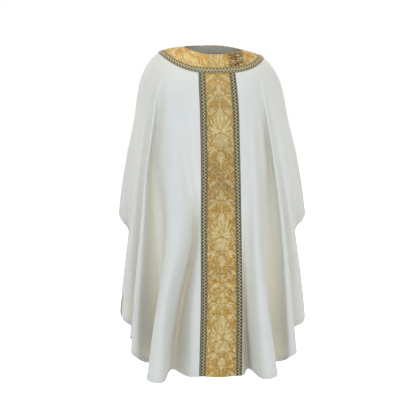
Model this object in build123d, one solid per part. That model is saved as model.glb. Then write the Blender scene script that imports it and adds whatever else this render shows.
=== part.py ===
from build123d import *
import os
from types import SimpleNamespace
import numpy as np

# A full gothic chasuble, draped as it hangs from a pair of shoulders. Millimetres.
# +Z is up and the front faces -Y. The origin lies on the level of the lowest hem, under the
# middle of the garment. "Left" is the -X side, as seen from the front (the wearer's right arm).
#
# The outer face of the body cloth is one smooth surface through a cage of points. Every piece
# is a strip of that surface between two offsets, positive outwards.

# ---- cloth layers: thicknesses and widths
CLOTH = 0.9              # body cloth
HEM_CLOTH = 0.7          # turned-up hem allowance
HEM_DEPTH = 20.0
SEAM_CLOTH = 0.8         # felled shoulder seam, inside
SEAM_WIDTH = 14.0
BROCADE = 0.7            # figured brocade of yoke and orphreys
INTERFACING = 0.5        # stiffening behind the brocade
FACING = 0.6             # neck facing
FACING_WIDTH = 42.0
GALLOON = 1.2            # woven braid
GALLOON_WIDTH = 23.0

# ---- gaps
CLEAR = 0.25             # between stacked layers
EDGE_GAP = 1.2           # where a swinging side meets the fixed middle
SEAM_GAP = 0.35          # where two fixed pieces meet edge to edge
NECK_INSET = 0.4         # yoke stiffening and facing, back from the neck edge
HEM_INSET = 0.3          # turned hems, up from the hem edge
INTERFACING_INSET = 2.0  # orphrey stiffening, up from the hem edge
HEM_GAP_FIRST, HEM_GAP_LAST = 4, 3   # side hems' end gaps, as multiples of the panel's

# ---- centre column
COLUMN_LEFT, COLUMN_RIGHT = 71.5, 65.5   # half widths where it meets the yoke
COLUMN_NECK = 62.0                       # half width of the same strip carried up to the neck

# ---- placing the garment so that the origin is under the middle of its box
X_SHIFT, Y_SHIFT = 0.42, 11.53

# ---- shape of the drape
LEVELS = (850.0, 600.0, 300.0, 0.0)      # heights of the fold lines' lower points
HEM_ROW = 6                              # cage row at 300, which spaces the hem's spline
NECK_POWER = 2.2                         # how late the neck edge turns to the shoulder's height
BELOW = 0.3                              # last row, beyond the one at 0, as a share of the step
BACK_CHEST_DEPTH = 0.98                  # the back hangs a little flatter than the front:
BACK_DEPTHS = (0.98, 0.95, 0.93, 0.93)   # its depth as a share of the front's, at LEVELS
BACK_CHEST_RISE = 18
BACK_HEM_RISE = 3
BACK_BLEND_POWER = 3                     # how late the back folds turn into the shoulder line

# ---- sampling
BODY_SHARES = [0, 0.02, 0.045, 0.075, 0.11, 0.15, 0.20, 0.26,      # rows of the body, as shares
               0.34, 0.43, 0.53, 0.64, 0.76, 0.88]                 # of the length to the hem fold
BODY_ROWS = BODY_SHARES + ["fold", "hem"]
BODY_PER_FOLD, YOKE_PER_FOLD = 4, 2      # points to every fold line
NORMAL_STEP = 2e-3                       # in u and q, for the surface's normal
TRIM_STEP = 0.01                         # in u, for the local length of a column step
SEAM_STEP = 0.02
SEAM_POINTS = 9
BISECTIONS = 28

# Fold lines from the edge of the centre column (CE) round to the shoulder (S). V is a valley,
# the others are ridges and flanks. Columns: name, chest point (x, y, z), (x, y) at each of
# LEVELS, height of the hem.
LEFT_FOLDS = [
    ("CE", (-70.5, -165, 1029), (-69.5, -180), (-72, -190), (-72, -195), (-79, -200), 4),
    ("A1", (-111, -163, 1036), (-102, -184), (-79, -177), (-106, -184), (-121, -190), 2),
    ("V1", (-138, -156, 1048), (-131, -174), (-90, -151), (-133, -110), (-170, -95), 10),
    ("L1a", (-162, -150, 1059), (-159, -184), (-123, -192), (-180, -206), (-211, -230), 12),
    ("L1", (-181, -143, 1070), (-186, -182), (-173, -216), (-225, -272), (-255, -325), 14),
    ("L1e", (-195, -135, 1081), (-207, -165), (-204, -196), (-247, -245), (-297, -295), 22),
    ("B2", (-203, -125, 1091), (-222, -134), (-206, -135), (-222, -160), (-240, -190), 36),
    ("V2", (-211, -112, 1102), (-234, -90), (-228, -84), (-214, -88), (-211, -90), 30),
    ("R2a", (-217, -108, 1109), (-250, -92), (-261, -102), (-272, -122), (-279, -132), 50),
    ("R2", (-224, -107, 1117), (-265, -122), (-288, -140), (-313, -164), (-326, -183), 82),
    ("R2e", (-229, -100, 1120), (-270, -118), (-297, -128), (-327, -145), (-347, -160), 100),
    ("V3", (-233, -90, 1127), (-270, -92), (-286, -82), (-289, -74), (-289, -64), 146),
    ("R3", (-246, -80, 1138), (-290, -90), (-317, -88), (-342, -85), (-353, -85), 196),
    ("R3e", (-255, -62, 1149), (-308, -76), (-330, -62), (-358, -50), (-377, -45), 258),
    ("V4", (-263, -45, 1155), (-319, -48), (-330, -20), (-324, 0), (-325, 10), 520),
    ("W", (-268, -22, 1162), (-331, -30), (-357, -18), (-364, -5), (-369, 0), 585),
    ("S", (-271, 0, 1164), (-336, 0), (-372, 4), (-394, 8), (-412, 10), 618),
]
RIGHT_FOLDS = [
    ("CE", (74.5, -165, 1027), (77.5, -180), (82, -190), (86, -195), (84, -200), 2),
    ("A1", (96, -162, 1034), (98, -182), (93, -188), (93, -182), (101, -174), 2),
    ("V1", (113, -154, 1045), (115, -176), (104, -183), (99, -166), (122, -114), 8),
    ("L1a", (128, -146, 1055), (129, -178), (118, -194), (113, -206), (137, -218), 10),
    ("L1", (139, -138, 1066), (144, -170), (135, -208), (144, -262), (165, -315), 12),
    ("L1e", (148, -130, 1077), (161, -150), (160, -182), (178, -236), (213, -285), 20),
    ("B2", (157, -121, 1088), (182, -123), (179, -130), (180, -155), (190, -185), 34),
    ("V2", (165, -110, 1094), (201, -88), (213, -84), (209, -90), (206, -92), 24),
    ("R2a", (171, -105, 1098), (211, -91), (239, -102), (253, -122), (263, -132), 40),
    ("R2", (177, -103, 1105), (216, -118), (246, -138), (267, -162), (281, -180), 64),
    ("R2e", (185, -96, 1109), (223, -112), (260, -126), (290, -142), (317, -157), 82),
    ("V3", (194, -86, 1112), (231, -88), (266, -80), (276, -72), (284, -62), 132),
    ("R3", (208, -74, 1118), (252, -86), (292, -86), (324, -83), (340, -83), 170),
    ("R3e", (223, -58, 1125), (278, -72), (311, -60), (351, -48), (374, -43), 242),
    ("V4", (236, -40, 1132), (300, -46), (323, -18), (326, 2), (332, 12), 510),
    ("W", (247, -20, 1138), (315, -28), (349, -16), (362, -4), (371, 0), 570),
    ("S", (257, 0, 1141), (329, 0), (370, 4), (399, 8), (418, 10), 604),
]

# Each side: half widths of the neck opening, the yoke's outer edge and the centre column,
# heights of neck and yoke edge at the shoulder, and how late the yoke edge turns to that height.
LEFT = SimpleNamespace(sign=-1, folds=LEFT_FOLDS, neck_width=114.0, neck_z=1259.0,
                       yoke_width=212.0, yoke_z=1237.0, yoke_power=2.9, column=COLUMN_LEFT)
RIGHT = SimpleNamespace(sign=1, folds=RIGHT_FOLDS, neck_width=112.0, neck_z=1247.0,
                        yoke_width=198.0, yoke_z=1216.0, yoke_power=3.3, column=COLUMN_RIGHT)
# Each half: depths and heights of neck and yoke edge on the centre line, how far the centre
# column bulges, and the height of its hem.
FRONT = SimpleNamespace(sign=-1, neck_depth=85.0, neck_z=1233.0, yoke_depth=137.0,
                        yoke_z=1166.0, bulge=5.0, hem=0.0)
BACK = SimpleNamespace(sign=1, neck_depth=62.0, neck_z=1262.0, yoke_depth=128.0,
                       yoke_z=1192.0, bulge=4.0, hem=3.0)

# Column numbers round the closed ring, from the left shoulder (0) past the front. The centre
# column takes four steps: edge, braid's inner edge, middle, braid's inner edge, edge.
SIDE_STEPS = len(LEFT_FOLDS) - 1
CENTRE_STEPS = 4
FRONT_EDGE_LEFT = SIDE_STEPS
FRONT_EDGE_RIGHT = FRONT_EDGE_LEFT + CENTRE_STEPS
SHOULDER_RIGHT = FRONT_EDGE_RIGHT + SIDE_STEPS
BACK_EDGE_RIGHT = SHOULDER_RIGHT + SIDE_STEPS
BACK_EDGE_LEFT = BACK_EDGE_RIGHT + CENTRE_STEPS
RING = BACK_EDGE_LEFT + SIDE_STEPS


# ---------------------------------------------------------------- the cage of control points
def neck_yoke_angles(side, folds):
    """Angles from the centre line, in radians, of each fold on the neck and the yoke edge."""
    chest = np.abs(np.array([fold[1][:2] for fold in folds], float))
    raw = np.arctan2(chest[:, 0] / chest[-1, 0], chest[:, 1] / chest[0, 1])[:, None]
    first = np.arcsin([COLUMN_NECK / side.neck_width, side.column / side.yoke_width])
    quarter_turn = np.pi / 2
    return first + (raw - raw[0]) / (quarter_turn - raw[0]) * (quarter_turn - first)


def back_fold(fold, own, blend):
    """A front fold of the other side turned to the back, blended into this side's own fold."""
    name, (x, y, z), *levels, hem = fold
    _, (own_x, own_y, own_z), *own_levels, own_hem = own
    keep = 1 - blend
    chest = (-x * keep + own_x * blend,
             -y * BACK_CHEST_DEPTH * keep - own_y * blend,
             (z + BACK_CHEST_RISE) * keep + own_z * blend)
    turned = []
    for (x, y), (own_x, own_y), depth in zip(levels, own_levels, BACK_DEPTHS):
        # only the shoulder line itself takes the front's y
        turned.append((-x * keep + own_x * blend, own_y if blend == 1 else -y * depth))
    return (name, chest, *turned, (hem + BACK_HEM_RISE) * keep + own_hem * blend)


def quarter(side, other, half):
    """(points, hem height) of the columns from the centre column's edge to the shoulder."""
    source = other.folds if half is BACK else side.folds
    columns = []
    for i, angles in enumerate(neck_yoke_angles(side, source)):
        fold = source[i]
        if half is BACK:
            fold = back_fold(fold, side.folds[i], (i / SIDE_STEPS) ** BACK_BLEND_POWER)
        (neck_sin, yoke_sin), (neck_cos, yoke_cos) = np.sin(angles), np.cos(angles)
        neck = (side.sign * side.neck_width * neck_sin,
                half.sign * half.neck_depth * neck_cos,
                half.neck_z + (side.neck_z - half.neck_z) * neck_sin**NECK_POWER)
        yoke = (side.sign * side.yoke_width * yoke_sin,
                half.sign * half.yoke_depth * yoke_cos,
                half.yoke_z + (side.yoke_z - half.yoke_z) * yoke_sin**side.yoke_power)
        _, chest, *levels, hem = fold
        chest = np.array(chest, float)
        lower = [np.array((x, y, z)) for (x, y), z in zip(levels, LEVELS)]
        below_chest = (chest + lower[0]) / 2
        below = lower[-1] + (lower[-1] - lower[-2]) * BELOW
        columns.append((np.array([neck, yoke, chest, below_chest, *lower, below]), float(hem)))
    return columns


def middle(first, last, half):
    """Braid edge, middle and braid edge between the two edges of the centre column."""
    (first_points, first_hem), (last_points, last_hem) = first, last
    braid = GALLOON_WIDTH / np.linalg.norm(last_points - first_points, axis=1)
    braid[:2] = GALLOON_WIDTH / (COLUMN_LEFT + COLUMN_RIGHT)
    columns = []
    for share in (braid, np.full_like(braid, 0.5), 1 - braid):
        points = first_points * (1 - share)[:, None] + last_points * share[:, None]
        arch = 4 * share * (1 - share)
        points[2:, 1] += half.sign * half.bulge * arch[2:]
        # the neck and yoke edges follow ellipses, of the left side's half widths throughout
        for row, width, depth, z in ((0, LEFT.neck_width, half.neck_depth, half.neck_z),
                                     (1, LEFT.yoke_width, half.yoke_depth, half.yoke_z)):
            points[row, 1] = half.sign * depth * np.sqrt(1 - (points[row, 0] / width) ** 2)
            points[row, 2] += (z - points[row, 2]) * arch[row]
        columns.append((points, first_hem * (1 - share[-1]) + last_hem * share[-1]))
    columns[1] = (columns[1][0], half.hem)
    return columns


def cage():
    """Control points (rows, columns, 3) from the neck down, and the hem height by column."""
    front_left, front_right = quarter(LEFT, RIGHT, FRONT), quarter(RIGHT, LEFT, FRONT)
    back_left, back_right = quarter(LEFT, RIGHT, BACK), quarter(RIGHT, LEFT, BACK)
    ring = front_left[::-1] + middle(front_left[0], front_right[0], FRONT) + front_right
    ring += back_right[::-1][1:] + middle(back_right[0], back_left[0], BACK) + back_left[:-1]
    points = np.stack([column[0] for column in ring], 1) + (X_SHIFT, Y_SHIFT, 0)
    return points, np.array([column[1] for column in ring])


# ---------------------------------------------------------------- the draped surface
def spline_value(b, h, start, end, bend_start, bend_end):
    """Cubic at share b of an interval of length h, from end values and second derivatives."""
    a = 1 - b
    return (a[:, None] * start + b[:, None] * end
            + ((a**3 - a) * h * h / 6)[:, None] * bend_start
            + ((b**3 - b) * h * h / 6)[:, None] * bend_end)


def ring_spline(points):
    """Closed cubic spline through the columns, as a function of the column number."""
    closed = np.vstack([points, points[:1]])
    chord = np.linalg.norm(np.diff(closed[:, :3], axis=0), axis=1)
    h = np.sqrt(chord + 1.0)
    slope = np.diff(closed, axis=0) / h[:, None]
    matrix = np.zeros((RING, RING))
    for i in range(RING):
        matrix[i, i - 1] += h[i - 1]
        matrix[i, i] += 2 * (h[i - 1] + h[i])
        matrix[i, (i + 1) % RING] += h[i]
    bend = np.linalg.solve(matrix, 6 * (slope - np.roll(slope, 1, axis=0)))
    bend = np.vstack([bend, bend[:1]])

    def at(u):
        u = np.mod(u, RING)
        k = np.minimum(u.astype(int), RING - 1)
        return spline_value(u - k, h[k], closed[k], closed[k + 1], bend[k], bend[k + 1])

    return at


CAGE, HEMS = cage()
ROW_SPLINES = [ring_spline(row) for row in CAGE]
HEM_SPLINE = ring_spline(np.concatenate([CAGE[HEM_ROW], HEMS[:, None]], 1))


def surface(u, q):
    """Points of the cloth's outer face, and the lengths down the yoke and down the body.

    u is the column number; q is 0 at the neck, 1 at the yoke's edge, 2 at the hem.
    """
    u, q = np.broadcast_arrays(np.asarray(u, float), np.asarray(q, float))
    shape = u.shape
    u, q = u.ravel(), q.ravel()
    knots = np.stack([spline(u) for spline in ROW_SPLINES], 1)      # lines, rows, 3
    hem = HEM_SPLINE(u)[:, 3]
    h = np.linalg.norm(np.diff(knots, axis=1), axis=2)
    t = np.concatenate([np.zeros((len(u), 1)), np.cumsum(h, 1)], 1)
    lines, rows = t.shape

    # natural cubic spline down every line, all at once
    slope = np.diff(knots, axis=1) / h[..., None]
    matrix = np.zeros((lines, rows - 2, rows - 2))
    for i in range(rows - 2):
        matrix[:, i, i] = 2 * (h[:, i] + h[:, i + 1])
        if i:
            matrix[:, i, i - 1] = matrix[:, i - 1, i] = h[:, i]
    bend = np.zeros((lines, rows, 3))
    bend[:, 1:-1] = np.linalg.solve(matrix, 6 * np.diff(slope, axis=1))

    def at(length):
        k = np.clip((length[:, None] >= t).sum(1) - 1, 0, rows - 2)
        i = np.arange(lines)
        return spline_value((length - t[i, k]) / h[i, k], h[i, k],
                            knots[i, k], knots[i, k + 1], bend[i, k], bend[i, k + 1])

    # the hem lies between the chest and the last row
    low, high = t[:, 2], t[:, -1]
    for _ in range(BISECTIONS):
        mid = (low + high) / 2
        below = at(mid)[:, 2] < hem
        high = np.where(below, mid, high)
        low = np.where(below, low, mid)
    yoke = t[:, 1]
    body = (low + high) / 2 - yoke
    length = np.where(q <= 1, q * yoke, yoke + (q - 1) * body)
    return at(length).reshape(*shape, 3), yoke.reshape(shape), body.reshape(shape)


def offset_points(u, q, offset):
    """Points of the surface moved outwards along its normal."""
    along_u = surface(u + NORMAL_STEP, q)[0] - surface(u - NORMAL_STEP, q)[0]
    along_q = surface(u, q + NORMAL_STEP)[0] - surface(u, q - NORMAL_STEP)[0]
    normal = np.cross(along_q, along_u)
    normal /= np.linalg.norm(normal, axis=-1, keepdims=True)
    return surface(u, q)[0] + normal * offset


# ---------------------------------------------------------------- strips of the surface
def span(first, last, per_fold=BODY_PER_FOLD):
    """Column numbers from first to last, a few to every fold line."""
    return first + np.arange(per_fold * (last - first) + 1) / per_fold


def trimmed(u, gap_first, gap_last, q):
    """Column numbers with the ends pulled in by a distance, measured along row q."""
    u = u.copy()
    q = np.broadcast_to(q, u.shape)
    for end, gap, step in ((0, gap_first, TRIM_STEP), (-1, gap_last, -TRIM_STEP)):
        a, b = surface(np.array([u[end], u[end] + step]), q[end])[0]
        u[end] += step * gap / np.linalg.norm(b - a)
    return u


def yoke_length(u):
    return surface(u, 1)[1]


def yoke_rows(u, from_neck, from_edge, count):
    """Rows between the neck and the yoke's edge, kept the given distances inside each."""
    length = yoke_length(u)
    low, high = from_neck / length, 1 - from_edge / length
    return [low + (high - low) * k / (count - 1) for k in range(count)]


def body_row(u, place, hem_inset=0.0):
    """A row of the body: "hem" is its edge, "fold" the top of the hem allowance, and a
    number the share of the length from the yoke to the fold."""
    length = surface(u, 1)[2]
    if place == "hem":
        return 2 - hem_inset / length
    low, high = 1 + (SEAM_GAP + EDGE_GAP / 2) / length, 2 - HEM_DEPTH / length
    return high if place == "fold" else low + (high - low) * place


def body_rows(u, hem_inset=0.0):
    return [body_row(u, place, hem_inset) for place in BODY_ROWS]


def export_sheet(name, u, rows, inner, thickness):
    """Write the closed strip over u between the rows, from offset inner outwards.

    u is one array of column numbers for all rows, or a list with one for each row.
    """
    u, rows = np.asarray(u), np.asarray(rows)
    grids = [offset_points(u, rows, offset) for offset in (inner, inner + thickness)]
    chord = np.linalg.norm(np.diff(grids[0], axis=1), axis=2).mean(axis=0)
    parameters = np.concatenate([[0], np.cumsum(chord)])
    parameters = list(parameters / parameters[-1])
    curves = [[Edge.make_spline([tuple(p) for p in row], parameters=parameters) for row in grid]
              for grid in grids]
    faces = []
    for k in range(len(rows) - 1):
        for curve in curves:
            faces.append(Face.make_surface_from_curves(curve[k], curve[k + 1]))
        for end in (0, -1):
            sides = [Edge.make_line(tuple(grid[k][end]), tuple(grid[k + 1][end]))
                     for grid in grids]
            faces.append(Face.make_surface_from_curves(*sides))
    for k in (0, -1):
        faces.append(Face.make_surface_from_curves(curves[0][k], curves[1][k]))
    export_step(Solid(Shell(faces)), f"parts/{name}.step")


# ---------------------------------------------------------------- the pieces
def make_yoke(half, first, last):
    """Stiffening, brocade, braid and neck facing of a half that runs shoulder to shoulder."""
    u = trimmed(span(first, last, YOKE_PER_FOLD), SEAM_GAP, SEAM_GAP, 0.5)
    length = yoke_length(u)
    edge = EDGE_GAP / 2
    inner = -CLOTH
    export_sheet(f"yoke_interfacing_{half}", u, yoke_rows(u, NECK_INSET, edge, 6),
                 inner, INTERFACING)
    inner += INTERFACING + CLEAR
    export_sheet(f"yoke_{half}", u, yoke_rows(u, 0, edge, 6), inner, BROCADE)
    inner += BROCADE + CLEAR
    export_sheet(f"yoke_galloon_{half}", u, yoke_rows(u, length - GALLOON_WIDTH, edge, 3),
                 inner, GALLOON)
    export_sheet(f"neck_facing_{half}", u, yoke_rows(u, NECK_INSET, length - FACING_WIDTH, 4),
                 -CLOTH - CLEAR - FACING, FACING)


def make_centre(half, first, last, first_side, last_side):
    """Cloth, hem, stiffening, brocade column and its two braids."""
    u = span(first, last)
    export_sheet(f"centre_panel_{half}", u, body_rows(u), -CLOTH, CLOTH)
    export_sheet(f"centre_hem_{half}", u, [body_row(u, "fold"), body_row(u, "hem", HEM_INSET)],
                 -CLOTH - CLEAR - HEM_CLOTH, HEM_CLOTH)
    inner = CLEAR
    export_sheet(f"orphrey_interfacing_{half}", u, body_rows(u, INTERFACING_INSET),
                 inner, INTERFACING)
    inner += INTERFACING + CLEAR
    export_sheet(f"orphrey_{half}", u, body_rows(u), inner, BROCADE)
    inner += BROCADE + CLEAR
    for start, side in ((first, first_side), (last - 1, last_side)):
        braid = span(start, start + 1)
        export_sheet(f"galloon_{half}_{side}", braid, body_rows(braid), inner, GALLOON)


def make_side(half, side, first, last, gap_first, gap_last):
    """Side panel and its turned hem."""
    full = span(first, last)
    u = [trimmed(full, gap_first, gap_last, row) for row in body_rows(full)]
    rows = [body_row(columns, place) for columns, place in zip(u, BODY_ROWS)]
    export_sheet(f"panel_{half}_{side}", u, rows, -CLOTH, CLOTH)
    u = [trimmed(full, gap_first * HEM_GAP_FIRST, gap_last * HEM_GAP_LAST, body_row(full, place))
         for place in ("fold", "hem")]
    rows = [body_row(u[0], "fold"), body_row(u[1], "hem", HEM_INSET)]
    export_sheet(f"hem_{half}_{side}", u, rows, -CLOTH - 2 * CLEAR - HEM_CLOTH, HEM_CLOTH)


def make_shoulder_seam(side, shoulder):
    """Felled seam inside, across the shoulder line; it stops above the hem allowance."""
    u, rows = [], []
    for share in BODY_SHARES[1:]:
        q = body_row(np.array([shoulder]), share)[0]
        a, b = surface(np.array([shoulder - SEAM_STEP, shoulder + SEAM_STEP]), q)[0]
        reach = SEAM_WIDTH / 2 / (np.linalg.norm(b - a) / (2 * SEAM_STEP))
        u.append(shoulder + reach * np.linspace(-1, 1, SEAM_POINTS))
        rows.append(body_row(u[-1], share))
    export_sheet(f"shoulder_seam_{side}", u, rows, -CLOTH - 2 * CLEAR - SEAM_CLOTH, SEAM_CLOTH)


os.makedirs("parts", exist_ok=True)
make_yoke("front", 0, SHOULDER_RIGHT)
make_yoke("back", SHOULDER_RIGHT, RING)
make_centre("front", FRONT_EDGE_LEFT, FRONT_EDGE_RIGHT, "left", "right")
make_centre("back", BACK_EDGE_RIGHT, BACK_EDGE_LEFT, "right", "left")
make_side("front", "left", 0, FRONT_EDGE_LEFT, SEAM_GAP, EDGE_GAP)
make_side("back", "left", BACK_EDGE_LEFT, RING, EDGE_GAP, SEAM_GAP)
make_side("front", "right", FRONT_EDGE_RIGHT, SHOULDER_RIGHT, EDGE_GAP, SEAM_GAP)
make_side("back", "right", SHOULDER_RIGHT, BACK_EDGE_RIGHT, SEAM_GAP, EDGE_GAP)
make_shoulder_seam("left", 0)
make_shoulder_seam("right", SHOULDER_RIGHT)
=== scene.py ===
"""A chasuble: cloth hanging in folds from a round yoke, with brocade, braids and stitching.

+Z is up, the front faces -Y and "left" is -X. The garment is worked out in millimetres, with
its hem near z = 0 and its neck near z = 1250, and becomes metres when a mesh is built.

The cloth is one surface. A place on it is a column, which runs round the ring from the left
shoulder past the front, and a row: 0 at the neck, 1 at the yoke's outer edge, 2 at the hem.
Every layer is an offset along that surface's normals.
"""

import math
from collections import namedtuple

import bpy
import numpy as np
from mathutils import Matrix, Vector


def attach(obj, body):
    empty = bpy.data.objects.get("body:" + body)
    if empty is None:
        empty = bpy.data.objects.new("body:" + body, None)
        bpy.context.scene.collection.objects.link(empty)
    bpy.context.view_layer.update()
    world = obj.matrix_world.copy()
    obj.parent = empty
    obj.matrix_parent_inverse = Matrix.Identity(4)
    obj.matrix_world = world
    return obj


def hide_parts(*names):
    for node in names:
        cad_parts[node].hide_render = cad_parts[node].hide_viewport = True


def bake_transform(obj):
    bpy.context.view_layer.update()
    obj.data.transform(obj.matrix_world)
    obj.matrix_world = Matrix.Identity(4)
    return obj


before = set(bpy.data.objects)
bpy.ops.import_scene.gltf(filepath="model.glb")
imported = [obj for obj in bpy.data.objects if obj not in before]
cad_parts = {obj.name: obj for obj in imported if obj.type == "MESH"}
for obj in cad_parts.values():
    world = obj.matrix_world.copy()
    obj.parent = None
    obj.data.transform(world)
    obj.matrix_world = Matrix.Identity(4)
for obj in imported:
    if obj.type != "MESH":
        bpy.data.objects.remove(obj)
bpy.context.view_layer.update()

# ---------------------------------------------------------------- sizes of the garment, mm
GALLOON_WIDTH = 23.0
BRAID_OVERHANG = 1.0                # how far a braid reaches past the brocade's edge
BRAID_WIDTH = GALLOON_WIDTH + BRAID_OVERHANG
COLUMN_NECK = 62.0                  # half width of the centre column carried up to the neck
X_SHIFT, Y_SHIFT = 0.42, 11.53      # puts the origin under the middle of the garment's box
CLOTH_THICKNESS = 0.9
FOLD_RADIUS = 1.15                  # of the turned hem's fold
STITCH_LINE = 18.6                  # height of the hem stitching above the hem
ROLL_RADIUS = 1.4                   # of the brocade's roll over the neck edge
BROCADE_OUT, BROCADE_IN = 1.7, 1.0  # offsets of the two faces from the cloth
STIFFENING_OUT, STIFFENING_IN = 0.75, 0.25
BRAID_BED, BRAID_BODY = 1.95, 0.9   # offset of a braid's underside, and its thickness
BRAID_DROP = 1.8                    # how far a free edge sinks to the cloth
YOKE_WAVE = 0.6                     # share of the cloth's ripple that shows on the yoke

# mesh spacings, mm
CLOTH_STEP = 5.0
BRAID_ACROSS, BRAID_ALONG = ((0.75, 1.25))
YOKE_STEP = 1.9
COLUMN_STEPS = {"front": 1.5, "back": 2.0}
DAMASK_STEP = 1.0

# Half widths and shoulder heights of the neck and yoke edges, by the sign of x; column_half is
# the centre column's half width at the yoke, yoke_power the rise of the yoke's edge.
Side = namedtuple("Side", "neck_half yoke_half neck_z yoke_z column_half yoke_power")
SIDES = {-1: Side(114.0, 212.0, 1259.0, 1237.0, 71.5, 2.9),
         1: Side(112.0, 198.0, 1247.0, 1216.0, 65.5, 3.3)}
# Depths and middle heights in front and behind; bulge is that of the centre column.
Face = namedtuple("Face", "sign neck_depth yoke_depth neck_z yoke_z bulge centre_hem")
FRONT = Face(-1, 85.0, 137.0, 1233.0, 1166.0, 5.0, 0.0)
BACK = Face(1, 62.0, 128.0, 1262.0, 1192.0, 4.0, 3.0)

# Fold lines from the edge of the centre column round to the shoulder: label, chest point
# (x, y, z), then (x, y) at each of LEVELS, then the height of the hem. Labels with V are
# valleys, the others ridges and flanks.
LEVELS = (850.0, 600.0, 300.0, 0.0)
BACK_DEPTHS = (0.98, 0.95, 0.93, 0.93)  # the back is flatter than the front, by level
LEFT = [
    ("CE", (-70.5, -165, 1029), (-69.5, -180), (-72, -190), (-72, -195), (-79, -200), 4),
    ("A1", (-111, -163, 1036), (-102, -184), (-79, -177), (-106, -184), (-121, -190), 2),
    ("V1", (-138, -156, 1048), (-131, -174), (-90, -151), (-133, -110), (-170, -95), 10),
    ("L1a", (-162, -150, 1059), (-159, -184), (-123, -192), (-180, -206), (-211, -230), 12),
    ("L1", (-181, -143, 1070), (-186, -182), (-173, -216), (-225, -272), (-255, -325), 14),
    ("L1e", (-195, -135, 1081), (-207, -165), (-204, -196), (-247, -245), (-297, -295), 22),
    ("B2", (-203, -125, 1091), (-222, -134), (-206, -135), (-222, -160), (-240, -190), 36),
    ("V2", (-211, -112, 1102), (-234, -90), (-228, -84), (-214, -88), (-211, -90), 30),
    ("R2a", (-217, -108, 1109), (-250, -92), (-261, -102), (-272, -122), (-279, -132), 50),
    ("R2", (-224, -107, 1117), (-265, -122), (-288, -140), (-313, -164), (-326, -183), 82),
    ("R2e", (-229, -100, 1120), (-270, -118), (-297, -128), (-327, -145), (-347, -160), 100),
    ("V3", (-233, -90, 1127), (-270, -92), (-286, -82), (-289, -74), (-289, -64), 146),
    ("R3", (-246, -80, 1138), (-290, -90), (-317, -88), (-342, -85), (-353, -85), 196),
    ("R3e", (-255, -62, 1149), (-308, -76), (-330, -62), (-358, -50), (-377, -45), 258),
    ("V4", (-263, -45, 1155), (-319, -48), (-330, -20), (-324, 0), (-325, 10), 520),
    ("W", (-268, -22, 1162), (-331, -30), (-357, -18), (-364, -5), (-369, 0), 585),
    ("S", (-271, 0, 1164), (-336, 0), (-372, 4), (-394, 8), (-412, 10), 618),
]
RIGHT = [
    ("CE", (74.5, -165, 1027), (77.5, -180), (82, -190), (86, -195), (84, -200), 2),
    ("A1", (96, -162, 1034), (98, -182), (93, -188), (93, -182), (101, -174), 2),
    ("V1", (113, -154, 1045), (115, -176), (104, -183), (99, -166), (122, -114), 8),
    ("L1a", (128, -146, 1055), (129, -178), (118, -194), (113, -206), (137, -218), 10),
    ("L1", (139, -138, 1066), (144, -170), (135, -208), (144, -262), (165, -315), 12),
    ("L1e", (148, -130, 1077), (161, -150), (160, -182), (178, -236), (213, -285), 20),
    ("B2", (157, -121, 1088), (182, -123), (179, -130), (180, -155), (190, -185), 34),
    ("V2", (165, -110, 1094), (201, -88), (213, -84), (209, -90), (206, -92), 24),
    ("R2a", (171, -105, 1098), (211, -91), (239, -102), (253, -122), (263, -132), 40),
    ("R2", (177, -103, 1105), (216, -118), (246, -138), (267, -162), (281, -180), 64),
    ("R2e", (185, -96, 1109), (223, -112), (260, -126), (290, -142), (317, -157), 82),
    ("V3", (194, -86, 1112), (231, -88), (266, -80), (276, -72), (284, -62), 132),
    ("R3", (208, -74, 1118), (252, -86), (292, -86), (324, -83), (340, -83), 170),
    ("R3e", (223, -58, 1125), (278, -72), (311, -60), (351, -48), (374, -43), 242),
    ("V4", (236, -40, 1132), (300, -46), (323, -18), (326, 2), (332, 12), 510),
    ("W", (247, -20, 1138), (315, -28), (349, -16), (362, -4), (371, 0), 570),
    ("S", (257, 0, 1141), (329, 0), (370, 4), (399, 8), (418, 10), 604),
]
FOLDS = {-1: LEFT, 1: RIGHT}

# Column numbers. The lines of a centre column are its edge, its braid's inner edge, and the
# same two on the other side, in the order of the ring.
FRONT_LINES = tuple(len(LEFT) - 1 + i for i in (0, 1, 3, 4))
SHOULDER_RIGHT = FRONT_LINES[0] + FRONT_LINES[3]
BACK_LINES = tuple(SHOULDER_RIGHT + line for line in FRONT_LINES)
RING = 2 * SHOULDER_RIGHT               # back at the left shoulder


# ---------------------------------------------------------------- the draped surface
def blend(start, end, share):
    return start * (1 - share) + end * share


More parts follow.
